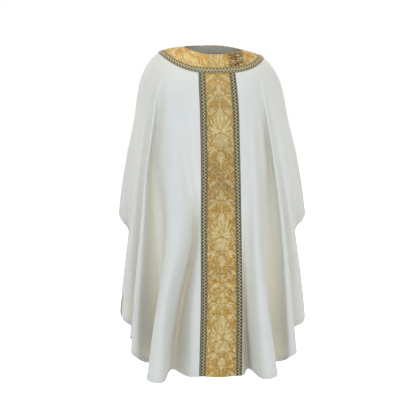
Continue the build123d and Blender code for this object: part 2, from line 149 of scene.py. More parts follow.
def quarter(folds, sign, face):
    """Columns (points, hem height) from the shoulder to the edge of the centre column."""
    side, own = SIDES[sign], FOLDS[sign]
    reach, depth = abs(folds[-1][1][0]), abs(folds[0][1][1])
    raw = [np.degrees(np.arctan2(abs(fold[1][0]) / reach, abs(fold[1][1]) / depth))
           for fold in folds]
    first = np.degrees(np.arcsin((COLUMN_NECK / side.neck_half,
                                  side.column_half / side.yoke_half)))
    columns = []
    for i, (_, chest, *levels, hem) in enumerate(folds):
        angle = np.radians(first + (raw[i] - raw[0]) / (90 - raw[0]) * (90 - first))
        (sin_neck, sin_yoke), (cos_neck, cos_yoke) = np.sin(angle), np.cos(angle)
        column = [
            (sign * side.neck_half * sin_neck, face.sign * face.neck_depth * cos_neck,
             face.neck_z + (side.neck_z - face.neck_z) * sin_neck**2.2),
            (sign * side.yoke_half * sin_yoke, face.sign * face.yoke_depth * cos_yoke,
             face.yoke_z + (side.yoke_z - face.yoke_z) * sin_yoke**side.yoke_power)]
        if face is BACK:
            # folds turned from the other side's front, blended into the front's shoulder line
            last = len(folds) - 1
            share = (i / last) ** 3
            _, own_chest, *own_levels, own_hem = own[i]
            column.append((blend(-chest[0], own_chest[0], share),
                           blend(-chest[1] * 0.98, -own_chest[1], share),
                           blend(chest[2] + 18, own_chest[2], share)))
            for (x, y), (own_x, own_y), flat, z in zip(levels, own_levels, BACK_DEPTHS, LEVELS):
                column.append((blend(-x, own_x, share), own_y if i == last else -y * flat, z))
            hem = blend(hem + 3, own_hem, share)
        else:
            column.append(chest)
            column += [(x, y, z) for (x, y), z in zip(levels, LEVELS)]
        column = [np.array(point, float) for point in column]
        column.insert(3, (column[2] + column[3]) / 2)
        column.append(column[-1] + (column[-1] - column[-2]) * 0.3)
        columns.append((np.array(column), float(hem)))
    return columns[::-1]


def middle(start, end, face):
    """Braid edge, centre and braid edge between the two edges of the centre column."""
    (start_points, start_hem), (end_points, end_hem) = start, end
    widths = np.linalg.norm(end_points - start_points, axis=1)
    widths[:2] = SIDES[-1].column_half + SIDES[1].column_half
    columns = []
    for share in (GALLOON_WIDTH / widths, np.full(len(widths), 0.5), 1 - GALLOON_WIDTH / widths):
        points = blend(start_points, end_points, share[:, None])
        arch = 4 * share * (1 - share)
        points[2:, 1] += face.sign * face.bulge * arch[2:]
        # the neck and the yoke edge follow an ellipse
        for row, half, depth, height in (
                (0, SIDES[-1].neck_half, face.neck_depth, face.neck_z),
                (1, SIDES[-1].yoke_half, face.yoke_depth, face.yoke_z)):
            points[row, 1] = face.sign * depth * np.sqrt(1 - (points[row, 0] / half) ** 2)
            points[row, 2] += (height - points[row, 2]) * arch[row]
        columns.append((points, blend(start_hem, end_hem, share[-1])))
    columns[1] = (columns[1][0], face.centre_hem)
    return columns


def cage():
    """Control points (row, column, xyz) and the hem height of each column.

    Rows: neck, yoke edge, chest, below the chest, the four levels, and one below them.
    """
    front_left, front_right = quarter(LEFT, -1, FRONT), quarter(RIGHT, 1, FRONT)
    back_left, back_right = quarter(RIGHT, -1, BACK), quarter(LEFT, 1, BACK)
    ring = front_left + middle(front_left[-1], front_right[-1], FRONT) + front_right[::-1]
    ring += back_right[1:] + middle(back_right[-1], back_left[-1], BACK) + back_left[:0:-1]
    points = np.stack([column for column, _ in ring], 1)
    points[..., 0] += X_SHIFT
    points[..., 1] += Y_SHIFT
    return points, np.array([hem for _, hem in ring])


def spline_piece(start, end, start_bend, end_bend, width, share):
    """Cubic between two knots, from their values and second derivatives."""
    rest = 1 - share
    start_weight = (rest**3 - rest) * width * width / 6
    end_weight = (share**3 - share) * width * width / 6
    return (rest[:, None] * start + share[:, None] * end
            + start_weight[:, None] * start_bend + end_weight[:, None] * end_bend)


def ring_spline(points):
    """Closed curve through the columns, as a function of the column number."""
    closed = np.vstack([points, points[:1]])
    gaps = np.linalg.norm(np.diff(closed[:, :3], axis=0), axis=1)
    knots = np.concatenate([[0], np.cumsum(np.sqrt(gaps + 1.0))])
    step = np.diff(knots)
    slope = np.diff(closed, axis=0) / step[:, None]
    count = len(step)
    matrix = np.zeros((count, count))
    for i in range(count):
        matrix[i, (i - 1) % count] += step[i - 1]
        matrix[i, i] += 2 * (step[i - 1] + step[i])
        matrix[i, (i + 1) % count] += step[i]
    bend = np.linalg.solve(matrix, 6 * (slope - np.roll(slope, 1, axis=0)))
    bend = np.vstack([bend, bend[:1]])

    def at(column):
        column = np.mod(column, RING)
        k = np.minimum(column.astype(int), RING - 1)
        return spline_piece(closed[k], closed[k + 1], bend[k], bend[k + 1],
                            knots[k + 1] - knots[k], column - k)

    return at


CAGE, HEMS = cage()
ROW_SPLINES = [ring_spline(row) for row in CAGE]
HEM_SPLINE = ring_spline(np.concatenate([CAGE[6], HEMS[:, None]], 1))


def drape(column, row):
    """Points of the cloth's outer face, and the lengths of the yoke line and the body line."""
    column, row = np.broadcast_arrays(np.asarray(column, float), np.asarray(row, float))
    shape = column.shape
    column, row = column.ravel(), row.ravel()
    knots = np.stack([spline(column) for spline in ROW_SPLINES], 1)
    hem = HEM_SPLINE(column)[:, 3]
    step = np.linalg.norm(np.diff(knots, axis=1), axis=2)
    place = np.cumsum(np.insert(step, 0, 0.0, axis=1), axis=1)
    lines, count = place.shape
    # natural cubic spline down every line, all solved at once
    slope = np.diff(knots, axis=1) / step[..., None]
    diagonal = 2 * (step[:, :-1] + step[:, 1:])
    target = 6 * (slope[:, 1:] - slope[:, :-1])
    upper = np.zeros((lines, count - 2))
    value = np.zeros((lines, count - 2, 3))
    upper[:, 0] = step[:, 1] / diagonal[:, 0]
    value[:, 0] = target[:, 0] / diagonal[:, :1]
    for i in range(1, count - 2):
        pivot = diagonal[:, i] - step[:, i] * upper[:, i - 1]
        upper[:, i] = step[:, i + 1] / pivot
        value[:, i] = (target[:, i] - step[:, i, None] * value[:, i - 1]) / pivot[:, None]
    bend = np.zeros((lines, count, 3))
    bend[:, count - 2] = value[:, count - 3]
    for i in range(count - 4, -1, -1):
        bend[:, i + 1] = value[:, i] - upper[:, i, None] * bend[:, i + 2]

    def at(distance):
        k = np.clip((distance[:, None] >= place).sum(1) - 1, 0, count - 2)
        i = np.arange(lines)
        width = place[i, k + 1] - place[i, k]
        return spline_piece(knots[i, k], knots[i, k + 1], bend[i, k], bend[i, k + 1],
                            width, (distance - place[i, k]) / width)

    # bisect for the hem, which lies between the chest and the last row
    low, high = place[:, 2].copy(), place[:, -1].copy()
    for _ in range(28):
        half = (low + high) / 2
        below = at(half)[:, 2] < hem
        high = np.where(below, half, high)
        low = np.where(below, low, half)
    yoke = place[:, 1]
    body = (low + high) / 2 - yoke
    distance = np.where(row <= 1, row * yoke, yoke + (row - 1) * body)
    return at(distance).reshape(*shape, 3), yoke.reshape(shape), body.reshape(shape)


def surface(column, row):
    return drape(column, row)[0]


def lengths(columns):
    """Length of the yoke line and of the body line, mm, at each column number."""
    return drape(columns, 1.0)[1:]


def normals_at(columns, rows):
    """Outward normals for column numbers (n) and rows (n, m)."""
    reach = 2e-3
    along = columns[:, None]
    around = surface(along + reach, rows) - surface(along - reach, rows)
    down = surface(along, rows + reach) - surface(along, rows - reach)
    normals = np.cross(down, around)
    return normals / np.maximum(np.linalg.norm(normals, axis=-1, keepdims=True), 1e-9)


def rows_down(columns, distance):
    """Rows at distances (mm) below the yoke's edge; negative distances are above it."""
    yoke, body = lengths(columns)
    return 1 + distance / np.where(distance < 0, yoke[:, None], body[:, None])


def rows_up(columns, distance):
    """Rows at distances (mm) above the hem."""
    return 2 - distance / lengths(columns)[1][:, None]


def rows_neck(columns, distance):
    """Rows at distances (mm) below the neck edge."""
    return distance / lengths(columns)[0][:, None]


def travel(points, axis=0):
    """Distance travelled along one axis of a line or grid of points."""
    steps = np.linalg.norm(np.diff(points, axis=axis), axis=-1)
    return np.cumsum(np.insert(steps, 0, 0.0, axis=axis), axis=axis)


def crisp(low, high, count, near, inset=0.0):
    """Even distances, with one more close to each end so that edges stay crisp."""
    inner = np.linspace(low, high, count + 1)[1:-1]
    return np.concatenate([[low + inset, low + near], inner, [high - near, high - inset]])


def spaced_columns(first, last, step):
    """Column numbers about step mm apart at the widest of three rows."""
    fine = np.linspace(first, last, int(abs(last - first) * 60) + 1)
    steps = [np.linalg.norm(np.diff(surface(fine, row), axis=0), axis=1)
             for row in (1.15, 1.5, 1.9)]
    distance = np.cumsum(np.insert(np.max(steps, axis=0), 0, 0.0))
    count = max(4, int(round(distance[-1] / step)))
    return np.interp(crisp(0.0, distance[-1], count, near=0.5), distance, fine)


def inset_columns(first, last, inset_first, inset_last, step):
    """Column numbers evenly step mm apart, with their distances from first, and the width."""
    fine = np.linspace(first - 0.25, last + 0.25, 900)
    distance = travel(surface(fine, 1.5))
    start, end = np.interp([first, last], fine, distance)
    low, high = start + inset_first, end - inset_last
    places = crisp(low, high, max(2, int(round((high - low) / step))), near=0.35)
    return np.interp(places, distance, fine), places - start, end - start


def ripple(points):
    """Slow, shallow unevenness of hanging cloth, mm: three sizes of wave, largest first."""
    x, y, z = points[..., 0], points[..., 1], points[..., 2]
    height = (0.30 * np.sin(x / 19.0 + 0.9 * np.sin(z / 210.0) + 1.3)
              * np.sin(z / 150.0 + 0.4 + x / 160.0))
    height += (0.16 * np.sin((x + 0.6 * y) / 11.0 + 1.7 * np.sin(z / 170.0 + 2.0))
               * np.sin(z / 95.0 + 1.9 + y / 120.0))
    height += 0.07 * np.sin((x - y) / 6.3 + z / 140.0) * np.sin(z / 61.0 + x / 40.0)
    return height


def cloth_at(columns, rows, wave=1.0):
    """Points, normals and ripple height for column numbers (n) and rows (n, m)."""
    points = surface(columns[:, None], rows)
    return points, normals_at(columns, rows), ripple(points) * wave


def smooth(share):
    return share * share * (3 - 2 * share)


# ---------------------------------------------------------------- hollows between the folds
def hollow_table(rows=36, window=125.0, sample=5.0):
    """How deep each place lies below the cloth round it: 0 on ridges, 1 in deep valleys."""
    column_numbers = np.linspace(0, RING, 721)
    row_numbers = np.linspace(1.0, 2.0, rows)
    points = surface(column_numbers[:, None], row_numbers[None, :])
    normals = normals_at(column_numbers, row_numbers[None, :])

    def blur(values, width):
        reach = int(width / sample)
        weights = 0.5 + 0.5 * np.cos(np.pi * np.arange(-reach, reach + 1) / (reach + 1))
        rolled = (weights[i + reach] * np.roll(values, -i, axis=0)
                  for i in range(-reach, reach + 1))
        return sum(rolled) / weights.sum()

    table = np.zeros(points.shape[:2])
    for j in range(rows):
        distance = travel(points[:, j])
        even = np.linspace(0, distance[-1], int(distance[-1] / sample) + 1)
        line, normal = (
            np.stack([np.interp(even, distance, grid[:, j, axis]) for axis in range(3)], 1)[:-1]
            for grid in (points, normals))
        facing = blur(normal, window)
        facing /= np.linalg.norm(facing, axis=1, keepdims=True)
        depth = np.sum((blur(line, window) - line) * facing, axis=1)
        depth = np.clip(blur(np.clip((depth + 6.0) / 30.0, 0, 1), 70.0) * 1.3, 0, 1)
        table[:, j] = np.interp(distance, even, np.append(depth, depth[0]))
        # the folds open towards the hem
        table[:, j] *= 1 - 0.55 * smooth(np.clip((360.0 - points[:, j, 2]) / 320.0, 0, 1))
    return table


HOLLOW = hollow_table()


def bilinear(table, i, j, next_j, share_i, share_j):
    near = table[i, j] * (1 - share_j) + table[i, next_j] * share_j
    far = table[i + 1, j] * (1 - share_j) + table[i + 1, next_j] * share_j
    return near * (1 - share_i) + far * share_i


def hollow_at(columns, rows):
    """The hollow table read at a grid of columns and rows."""
    last_column, last_row = HOLLOW.shape[0] - 1, HOLLOW.shape[1] - 1
    across = np.mod(np.broadcast_to(columns[:, None], rows.shape), RING) / RING * last_column
    across = np.clip(across, 0, last_column - 0.001)
    down = np.clip((rows - 1.0) * last_row, 0, last_row - 0.001)
    i, j = across.astype(int), down.astype(int)
    return bilinear(HOLLOW, i, j, j + 1, across - i, down - j)


# ---------------------------------------------------------------- meshes
def build(name, material, points, quads, uv=None, attributes=None):
    """A mesh object from points in mm and quads; uv and attributes are per point."""
    mesh = bpy.data.meshes.new(name)
    points = np.asarray(points, np.float64) / 1000.0
    mesh.vertices.add(len(points))
    mesh.vertices.foreach_set("co", points.astype(np.float32).ravel())
    mesh.loops.add(quads.size)
    mesh.loops.foreach_set("vertex_index", quads.astype(np.int32).ravel())
    mesh.polygons.add(len(quads))
    mesh.polygons.foreach_set("loop_start", np.arange(0, quads.size, 4, dtype=np.int32))
    mesh.update(calc_edges=True)
    mesh.polygons.foreach_set("use_smooth", np.ones(len(quads), bool))
    if uv is not None:
        layer = mesh.uv_layers.new(name="cloth")
        layer.data.foreach_set("uv", uv[quads.ravel()].astype(np.float32).ravel())
    for key, values in (attributes or {}).items():
        attribute = mesh.attributes.new(key, "FLOAT", "POINT")
        attribute.data.foreach_set("value", np.asarray(values, np.float32).ravel())
    mesh.validate()
    mesh.materials.append(material)
    obj = bpy.data.objects.new(name, mesh)
    bpy.context.scene.collection.objects.link(obj)
    return obj


def sheet(name, material, outer, inner, attributes=None, uv=None):
    """A closed sheet between two grids (n, m, 3); uv is a pair of grids of distances in mm."""
    n, m = outer.shape[:2]
    top = np.arange(n * m).reshape(n, m)
    low = top + n * m

    def quads(*corners):
        return np.stack(corners, -1).reshape(-1, 4)

    faces = np.concatenate([
        quads(top[:-1, :-1], top[:-1, 1:], top[1:, 1:], top[1:, :-1]),
        quads(low[:-1, :-1], low[1:, :-1], low[1:, 1:], low[:-1, 1:]),
        quads(top[:-1, 0], top[1:, 0], low[1:, 0], low[:-1, 0]),
        quads(top[:-1, -1], low[:-1, -1], low[1:, -1], top[1:, -1]),
        quads(top[0, :-1], low[0, :-1], low[0, 1:], top[0, 1:]),
        quads(top[-1, :-1], top[-1, 1:], low[-1, 1:], low[-1, :-1])])
    points = np.concatenate([outer.reshape(-1, 3), inner.reshape(-1, 3)])
    across, along = uv or (travel(outer, 0), travel(outer, 1))
    flat = np.stack([across.ravel(), along.ravel()], -1) / 1000.0
    doubled = {key: np.tile(np.ravel(values), 2) for key, values in (attributes or {}).items()}
    return build(name, material, points, faces, np.concatenate([flat, flat]), doubled)


def lay(name, material, columns, rows, out, inn, wave=1.0, relief=0.0, attributes=None, uv=None):
    """A strip lying on the cloth between the offsets out and inn, thinner at its edges."""
    points, normals, height = cloth_at(columns, rows, wave)
    full = np.ones(points.shape[:2])
    full[[0, -1]] = full[:, [0, -1]] = 0.72
    centre = (out + inn) / 2
    top = centre + height + (out + relief - centre) * full
    outer = points + normals * top[..., None]
    inner = points + normals * (inn + height)[..., None]
    return sheet(name, material, outer, inner, attributes, uv)


def cloth_panel(name, first, last):
    """Body cloth between two columns, from under the yoke to the hem, turned at the edge."""
    tuck, hem_zone = 16.0, 26.0         # length under the yoke, start of the finer hem rows
    columns = spaced_columns(first, last, CLOTH_STEP)
    line = lengths(columns)[1][:, None]
    body = -tuck + np.linspace(0, 1, int(1230 / CLOTH_STEP)) * (line - hem_zone + tuck)
    hem_rows = np.array([24, 22.0, 20.6, 19.6, 18.6, 17.6, 16.2, 14, 11, 8, 5, 3, 1.6, 0.6])
    rows = rows_down(columns, np.concatenate([body, line - hem_rows], 1))
    points, normals, wave = cloth_at(columns, rows)
    above = np.concatenate([np.full_like(body, 99.0),
                            np.repeat(hem_rows[None, :], len(columns), 0)], 1)
    # the doubled hem stands a little proud, its stitch line pulls in, and it puckers
    proud = 0.55 / (1 + np.exp((above - 17.8) / 0.9))
    proud = proud - 0.55 * np.exp(-((above - STITCH_LINE) / 1.1) ** 2)
    proud = proud + 0.35 * np.sin(travel(points) / 7.0) * np.exp(-((above - 16) / 9.0) ** 2)
    top = wave + proud
    outer = points + normals * top[..., None]
    inner = points + normals * (wave - CLOTH_THICKNESS)[..., None]

    # the fold: an arc round the edge, then a short way back up
    edge_rows = rows_up(columns, np.array([0.6, 0.0]))
    edge = surface(columns[:, None], edge_rows)
    down = edge[:, 1] - edge[:, 0]
    down = (down / np.linalg.norm(down, axis=1, keepdims=True))[:, None]
    facing = normals_at(columns, edge_rows)[:, 1:]
    centre = edge[:, 1:] + facing * (top[:, -1] - FOLD_RADIUS)[:, None, None]
    angles = np.radians([15, 45, 75, 105, 135, 165, 180])[None, :, None]
    back_up = np.array([0.8, 2.2])[None, :, None]

    def turning(radius):
        arc = centre + radius * (np.cos(angles) * facing + np.sin(angles) * down)
        return np.concatenate([arc, centre - down * back_up - facing * radius], 1)

    outer = np.concatenate([outer, turning(FOLD_RADIUS)], 1)
    inner = np.concatenate([inner, turning(FOLD_RADIUS - CLOTH_THICKNESS)], 1)
    extra = outer.shape[1] - rows.shape[1]
    return sheet(name, CREPE, outer, inner, {
        "hem_d": np.pad(above, ((0, 0), (0, extra))),
        "hollow": np.pad(hollow_at(columns, rows), ((0, 0), (0, extra)), mode="edge")})


def turned_hem(name, first, last):
    """The turned-up cloth behind the hem, held in at the stitch line."""
    columns = spaced_columns(first, last, CLOTH_STEP)
    above = np.array([20.0, 19.5, 18.6, 17.0, 14.0, 10.0, 6.0, 3.1, 2.6])
    points, normals, wave = cloth_at(columns, rows_up(columns, above))
    outer = points + normals * (wave - 1.15)[..., None]
    pull = 0.3 * np.exp(-((above - STITCH_LINE) / 1.0) ** 2)
    inner = points + normals * (wave - 1.95 - pull)[..., None]
    return sheet(name, TURNED, outer, inner,
                 {"hem_d": np.repeat(above[None, :], len(columns), 0)})


def stitches(material, path, normals, lift, radius=0.26):
    """Short thread segments, mm, along a path of points (n, 3) with normals."""
    pitch, length = 4.0, 2.7
    distance = travel(path)
    count = int((distance[-1] - length) / pitch)
    start = np.arange(count) * pitch + (distance[-1] - count * pitch) / 2
    # share of the radius, and height above the path, of the five rings of a stitch
    thickness = np.array([0.25, 0.85, 1.0, 0.85, 0.25]) * radius
    rise = np.array([-0.32, -0.02, 0.1, -0.02, -0.32])
    rings, sides = len(rise), 6
    places = start[:, None] + np.linspace(0, 1, rings) * length

    def at(values):
        return np.stack([np.interp(places, distance, values[:, i]) for i in range(3)], -1)

    def unit(vectors):
        return vectors / np.linalg.norm(vectors, axis=-1, keepdims=True)

    centres, normal = at(path), unit(at(normals))
    along = unit(centres[:, -1:] - centres[:, :1])
    side = unit(np.cross(normal, np.broadcast_to(along, normal.shape)))
    centres = centres + normal * (lift + rise)[None, :, None]
    angles = (np.arange(sides) * 2 * np.pi / sides)[:, None]
    circle = np.cos(angles) * side[:, :, None] + np.sin(angles) * normal[:, :, None]
    points = centres[:, :, None] + thickness[None, :, None, None] * circle
    index = np.arange(rings * sides).reshape(rings, sides)
    faces = []
    for i in range(rings - 1):
        for j in range(sides):
            k = (j + 1) % sides
            faces.append([index[i, j], index[i, k], index[i + 1, k], index[i + 1, j]])
    for row, order in ((0, -1), (rings - 1, 1)):
        for corners in ((0, 1, 2, 3), (3, 4, 5, 0)):
            faces.append([index[row, i] for i in corners][::order])
    shift = np.arange(count) * rings * sides
    quads = (np.array(faces)[None] + shift[:, None, None]).reshape(-1, 4)
    return build("st", material, points.reshape(-1, 3), quads)


def join(main, *others):
    objects = [main, *others]
    with bpy.context.temp_override(active_object=main, object=main, selected_objects=objects,
                                   selected_editable_objects=objects):
        bpy.ops.object.join()


# ---------------------------------------------------------------- the damask figure
# One half cell, mirrored left to right; z runs up the cloth, mm.
HALF_CELL, CELL_HEIGHT = 60.0, 397.0
CROSSING = 190                          # height of the crossing of the stems
BRANCHES = CROSSING - 181               # height where the branches meet
FLOWER = CROSSING - 46                  # centre of the round flower
SCROLL = (41, BRANCHES - 62)            # centre of the small scroll
# Each motif: heights of its origin, leaves, then lobed leaves.
# Leaf: x, z of the start, bend and tip, half width, widest place, then if it has veins (it
# does by default) and the fullness of its outline. Lobed leaf: the same points, half width
# and number of lobe pairs.
MOTIFS = [
    ((CROSSING,), [
        # tall bud with an inner bud, and two leaves beside it
        (0, 2, 0, 40, 0, 92, 20.5, 0.36, False, 0.9), (0, 10, 0, 30, 0, 60, 3.2, 0.5, False),
        (12, 16, 30, 42, 22, 66, 3.4, 0.5), (16, 6, 36, 22, 37, 44, 3.6, 0.5),
        # crossing stem, side leaf and seed head of the flower
        (0, -6, 10, 8, 27, 28, 2.6, 0.6, False), (4, -5, 26, -16, 50, -10, 4.2, 0.5),
        (0, -62, 0, -48, 0, -30, 9.0, 0.5, False),
        # low side leaves, and the tip of the hanging leaf
        (22, -72, 33, -82, 42, -94, 4.6, 0.5), (12, -68, 23, -78, 14, -86, 2.8, 0.5, False),
        (52, -40, 46, -54, 50, -66, 3.6, 0.5), (0, -112, 0, -130, 0, -152, 4.6, 0.35, False),
    ], [(2, -3, 24, -4, 47, 12, 9.0, 4), (20, -70, 32, -68, 52, -78, 8.5, 3),
        (0, -82, 0, -96, 0, -124, 15.0, 3)]),
    ((BRANCHES,), [
        # branches, crown and pendant bud
        (54, 30, 36, 24, 2, -2, 2.8, 0.6, False), (30, 14, 24, 26, 25, 38, 3.0, 0.5),
        (2, -2, 14, 8, 22, 2, 3.2, 0.6), (0, -4, 2, 8, 0, 20, 3.4, 0.5, False),
        (0, -14, 1, -26, 0, -38, 4.6, 0.45), (3, -40, 14, -38, 23, -30, 2.8, 0.5, False),
        (0, -44, 0, -58, 0, -84, 9.0, 0.4), (9, -42, 24, -50, 17, -68, 3.0, 0.5),
        # side leaf, and the spike above the tall bud
        (22, -84, 36, -86, 50, -92, 3.8, 0.5), (0, -92, 0, -112, 0, -128, 4.2, 0.55, False),
    ], [(50, 26, 40, 34, 31, 46, 6.0, 3), (6, -10, 30, -6, 50, -48, 8.5, 4),
        (14, -88, 30, -96, 52, -132, 8.5, 4)]),
    # half figures down both sides
    ((40, 116, 214, 262, 330), [(56, -10, 47, -4, 45, 8, 2.8, 0.5, False)],
     [(59, -12, 59, 0, 59, 18, 6.5, 2)]),
]


def polar(centre, radius, angle):
    """A point at an angle anticlockwise from +x."""
    return centre[0] + radius * math.cos(angle), centre[1] + radius * math.sin(angle)


def mirrored_x(x):
    """Distance from the nearest mirror line at the middle of a cell."""
    return np.abs(np.mod(x + HALF_CELL, 2 * HALF_CELL) - HALF_CELL)


def curve_at(spine, t):
    start, bend, tip = spine
    return (1 - t) ** 2 * start + 2 * t * (1 - t) * bend + t * t * tip


def damask():
    """First x, grid spacings, and signed distances (mm, negative inside the figure)."""
    xs = np.arange(-2, HALF_CELL + 2 + DAMASK_STEP, DAMASK_STEP)
    zs = np.arange(0, CELL_HEIGHT, CELL_HEIGHT / round(CELL_HEIGHT / DAMASK_STEP))
    grid_x, grid_z = np.meshgrid(xs, zs, indexing="ij")
    leaves, veins = np.full(grid_x.shape, 1e3), np.full(grid_x.shape, 1e3)

    def put(field, spine, width, peak, power):
        """Add a curved spine with a swelling width to a field, in every cell it reaches."""
        t = np.linspace(0, 1, 22)
        swell = np.sin(np.pi * t ** (math.log(0.5) / math.log(peak)))
        radii = width * np.maximum(swell, 0.0) ** power
        for flip in (1, -1):
            for shift_x in (0, 2 * HALF_CELL):
                for shift_z in (-CELL_HEIGHT, 0, CELL_HEIGHT):
                    copy = np.asarray(spine, float) * (flip, 1) + (shift_x, shift_z)
                    if copy[:, 0].min() - width > HALF_CELL + 3:
                        continue
                    near = ((zs > copy[:, 1].min() - width - 6)
                            & (zs < copy[:, 1].max() + width + 6))
                    x_near, z_near = grid_x[:, near], grid_z[:, near]
                    best = field[:, near]
                    for (x, z), radius in zip(curve_at(copy, t[:, None]), radii):
                        best = np.minimum(best, np.hypot(x_near - x, z_near - z) - radius)
                    field[:, near] = best

    def leaf(spine, width, peak, veined=True, power=0.8):
        put(leaves, spine, width * 1.05 + 0.3, peak, power)
        if not veined or width <= 2.2:
            return
        put(veins, spine, 0.5, peak=0.5, power=0.25)
        if width > 5.0:
            start, bend, tip = np.asarray(spine, float)
            along = (tip - start) / np.linalg.norm(tip - start)
            side = np.array([-along[1], along[0]])
            for sign in (1, -1):
                vein = (start + along * width * 0.3, bend + side * sign * width * 0.75,
                        tip - along * width * 0.5)
                put(veins, vein, 0.42, peak=0.5, power=0.25)

    def lobed_leaf(spine, width, lobes):
        leaf(spine, width * 0.62, 0.42)
        start, bend, tip = spine
        for i in range(lobes):
            t = 0.16 + 0.62 * i / (lobes - 1)
            root = curve_at(spine, t)
            along = 2 * (1 - t) * (bend - start) + 2 * t * (tip - bend)
            along /= np.linalg.norm(along)
            side = np.array([-along[1], along[0]])
            size = width * (1.15 - 0.55 * abs(t - 0.4) / 0.6)
            for sign in (1, -1):
                end = root + along * size * 0.9 + side * sign * size * 0.95
                knee = root + along * size * 0.25 + side * sign * size * 0.75
                leaf((root, knee, end), width * 0.27, 0.5, veined=False)
                put(veins, (root, (root + knee) / 2, knee), 0.35, peak=0.5, power=0.3)

    for origins, leaf_table, lobed_table in MOTIFS:
        for origin in origins:
            for draw, table in ((leaf, leaf_table), (lobed_leaf, lobed_table)):
                for row in table:
                    draw(np.reshape(row[:6], (3, 2)) + (0.0, origin), *row[6:])
    # ribs of the tall bud
    for bend_x, tip_x, tip_z, width in ((17, 3, 80, 0.8), (9, 1, 74, 0.6)):
        rib = (0, CROSSING + 8), (bend_x, CROSSING + 36), (tip_x, CROSSING + tip_z)
        put(veins, rib, width, peak=0.5, power=0.2)
    # petals of the round flower, measured from upright, and the seeds in its head
    for degrees in (0, 21, 43, 66, 90, 114):
        angle = math.pi / 2 - math.radians(degrees)
        petal = [polar((0, FLOWER), radius, angle - turn)
                 for radius, turn in ((7, 0), (20, 0.1), (35 - 0.05 * degrees, 0))]
        leaf(petal, 5.4, 0.62)
    for x, z in ((0, -50), (4, -46), (4, -54), (0, -42), (0, -58)):
        seed = [(x, CROSSING + z + step) for step in (-0.8, 0, 0.8)]
        put(veins, seed, 1.3, peak=0.5, power=0.2)
    # scroll: seven short leaves that wind inwards
    for k in range(7):
        start, end = math.radians(-40 + k * 48), math.radians(-40 + (k + 1) * 48)
        outer, inner = 11.5 - k * 1.1, 11.5 - (k + 1) * 1.1
        bend_x, bend_z = polar((0, 0), outer, (start + end) / 2)
        turn = (polar(SCROLL, outer, start),
                (SCROLL[0] + bend_x * 1.08, SCROLL[1] + bend_z * 1.08),
                polar(SCROLL, inner, end))
        leaf(turn, 1.7, 0.5, veined=False, power=0.3)
    # fine tendrils and buds that run through the ground between the large figures
    x = mirrored_x(grid_x)
    turn = grid_z * 2 * np.pi / CELL_HEIGHT
    stem = (np.sin(x / 4.6 + 2.1 * np.sin(turn * 9 + 0.6))
            + np.sin(turn * 13 + 2.0 * np.cos(x / 6.4)))
    dots = (np.sin(x / 3.1 - 1.3 * np.cos(turn * 15))
            + np.cos(turn * 24 + 1.4 * np.sin(x / 4.0)))
    small = np.minimum((np.abs(stem) - 0.26) * 2.6, (0.95 - dots * np.sign(stem)) * 1.9 + 0.3)
    small = np.maximum(small, 1.7 - leaves)
    field = np.minimum(np.maximum(leaves, -veins), small)
    return xs[0], xs[1] - xs[0], zs[1] - zs[0], field


DAMASK_X, DAMASK_DX, DAMASK_DZ, DAMASK = damask()


def figure(x, z):
    """The damask's signed distance at cloth coordinates in mm."""
    across = (mirrored_x(x) - DAMASK_X) / DAMASK_DX
    up = np.mod(z, CELL_HEIGHT) / DAMASK_DZ
    i = np.clip(np.floor(across).astype(int), 0, DAMASK.shape[0] - 2)
    j = np.floor(up).astype(int) % DAMASK.shape[1]
    return bilinear(DAMASK, i, j, (j + 1) % DAMASK.shape[1], across - i, up - np.floor(up))


def brocade_relief(distance):
    """Raised figure with a slightly pillowed edge, mm."""
    raised = 1 / (1 + np.exp(np.clip(distance / 0.45, -30, 30)))
    return 0.28 * raised + 0.05 * np.clip(-distance / 3.0, 0, 1)


# ---------------------------------------------------------------- the braid
BEAD_PITCH = 13.0
# Cords along both edges: place and half width as shares of the width, height mm, tone.
CORDS = ((0.045, 0.035, 0.45, 0.22), (0.955, 0.035, 0.45, 0.22), (0.13, 0.05, 0.55, 0.40),
         (0.87, 0.05, 0.55, 0.40), (0.215, 0.03, 0.35, 0.20), (0.785, 0.03, 0.35, 0.20))


def braid_pattern(across, along):
    """Height (mm) and tone (0 dark .. 1 pale) at distances across and along the braid."""
    share = across / GALLOON_WIDTH
    height = np.zeros_like(share)
    tone = np.full_like(share, 0.18)
    for centre, half, cord_height, cord_tone in CORDS:
        place = (share - centre) / half
        round_off = np.clip(1 - place**2, 0, 1)
        twist = np.sin(along * 2 * np.pi / 2.6 + place * 2.0 * np.sign(0.5 - centre))
        twist = 0.75 + 0.25 * twist
        height = np.maximum(height, cord_height * np.sqrt(round_off) * twist)
        tone = np.where(round_off > 0.02, cord_tone * (0.7 + 0.5 * twist), tone)
    # the middle: plump slanted beads of a twisted cord, a pair to each repeat
    for shift, sign in ((0.0, 1.0), (0.5, -1.0)):
        x = np.mod(along - shift * BEAD_PITCH + BEAD_PITCH / 2, BEAD_PITCH) - BEAD_PITCH / 2
        y = (share - 0.5) * GALLOON_WIDTH - sign * 2.3
        slant = math.radians(34) * sign
        long_way = (x * math.cos(slant) + y * math.sin(slant)) / 4.3
        short_way = (-x * math.sin(slant) + y * math.cos(slant)) / 2.15
        bead = np.clip(1 - long_way**2 - short_way**2, 0, 1)
        on_top = (bead > 0.0) & (0.95 * np.sqrt(bead) > height)
        height = np.maximum(height, 0.95 * np.sqrt(bead))
        tone = np.where(on_top, 0.62 + 0.38 * np.sqrt(bead), tone)
    channel = (np.abs(share - 0.5) < 0.27) & (height < 0.05)
    return height, np.where(channel, 0.04, tone)


def edge_drop(from_edge):
    """How far a braid has sunk at a distance from its free edge, as a share."""
    return smooth(np.clip(1 - (from_edge - 0.6) / 4.4, 0, 1))


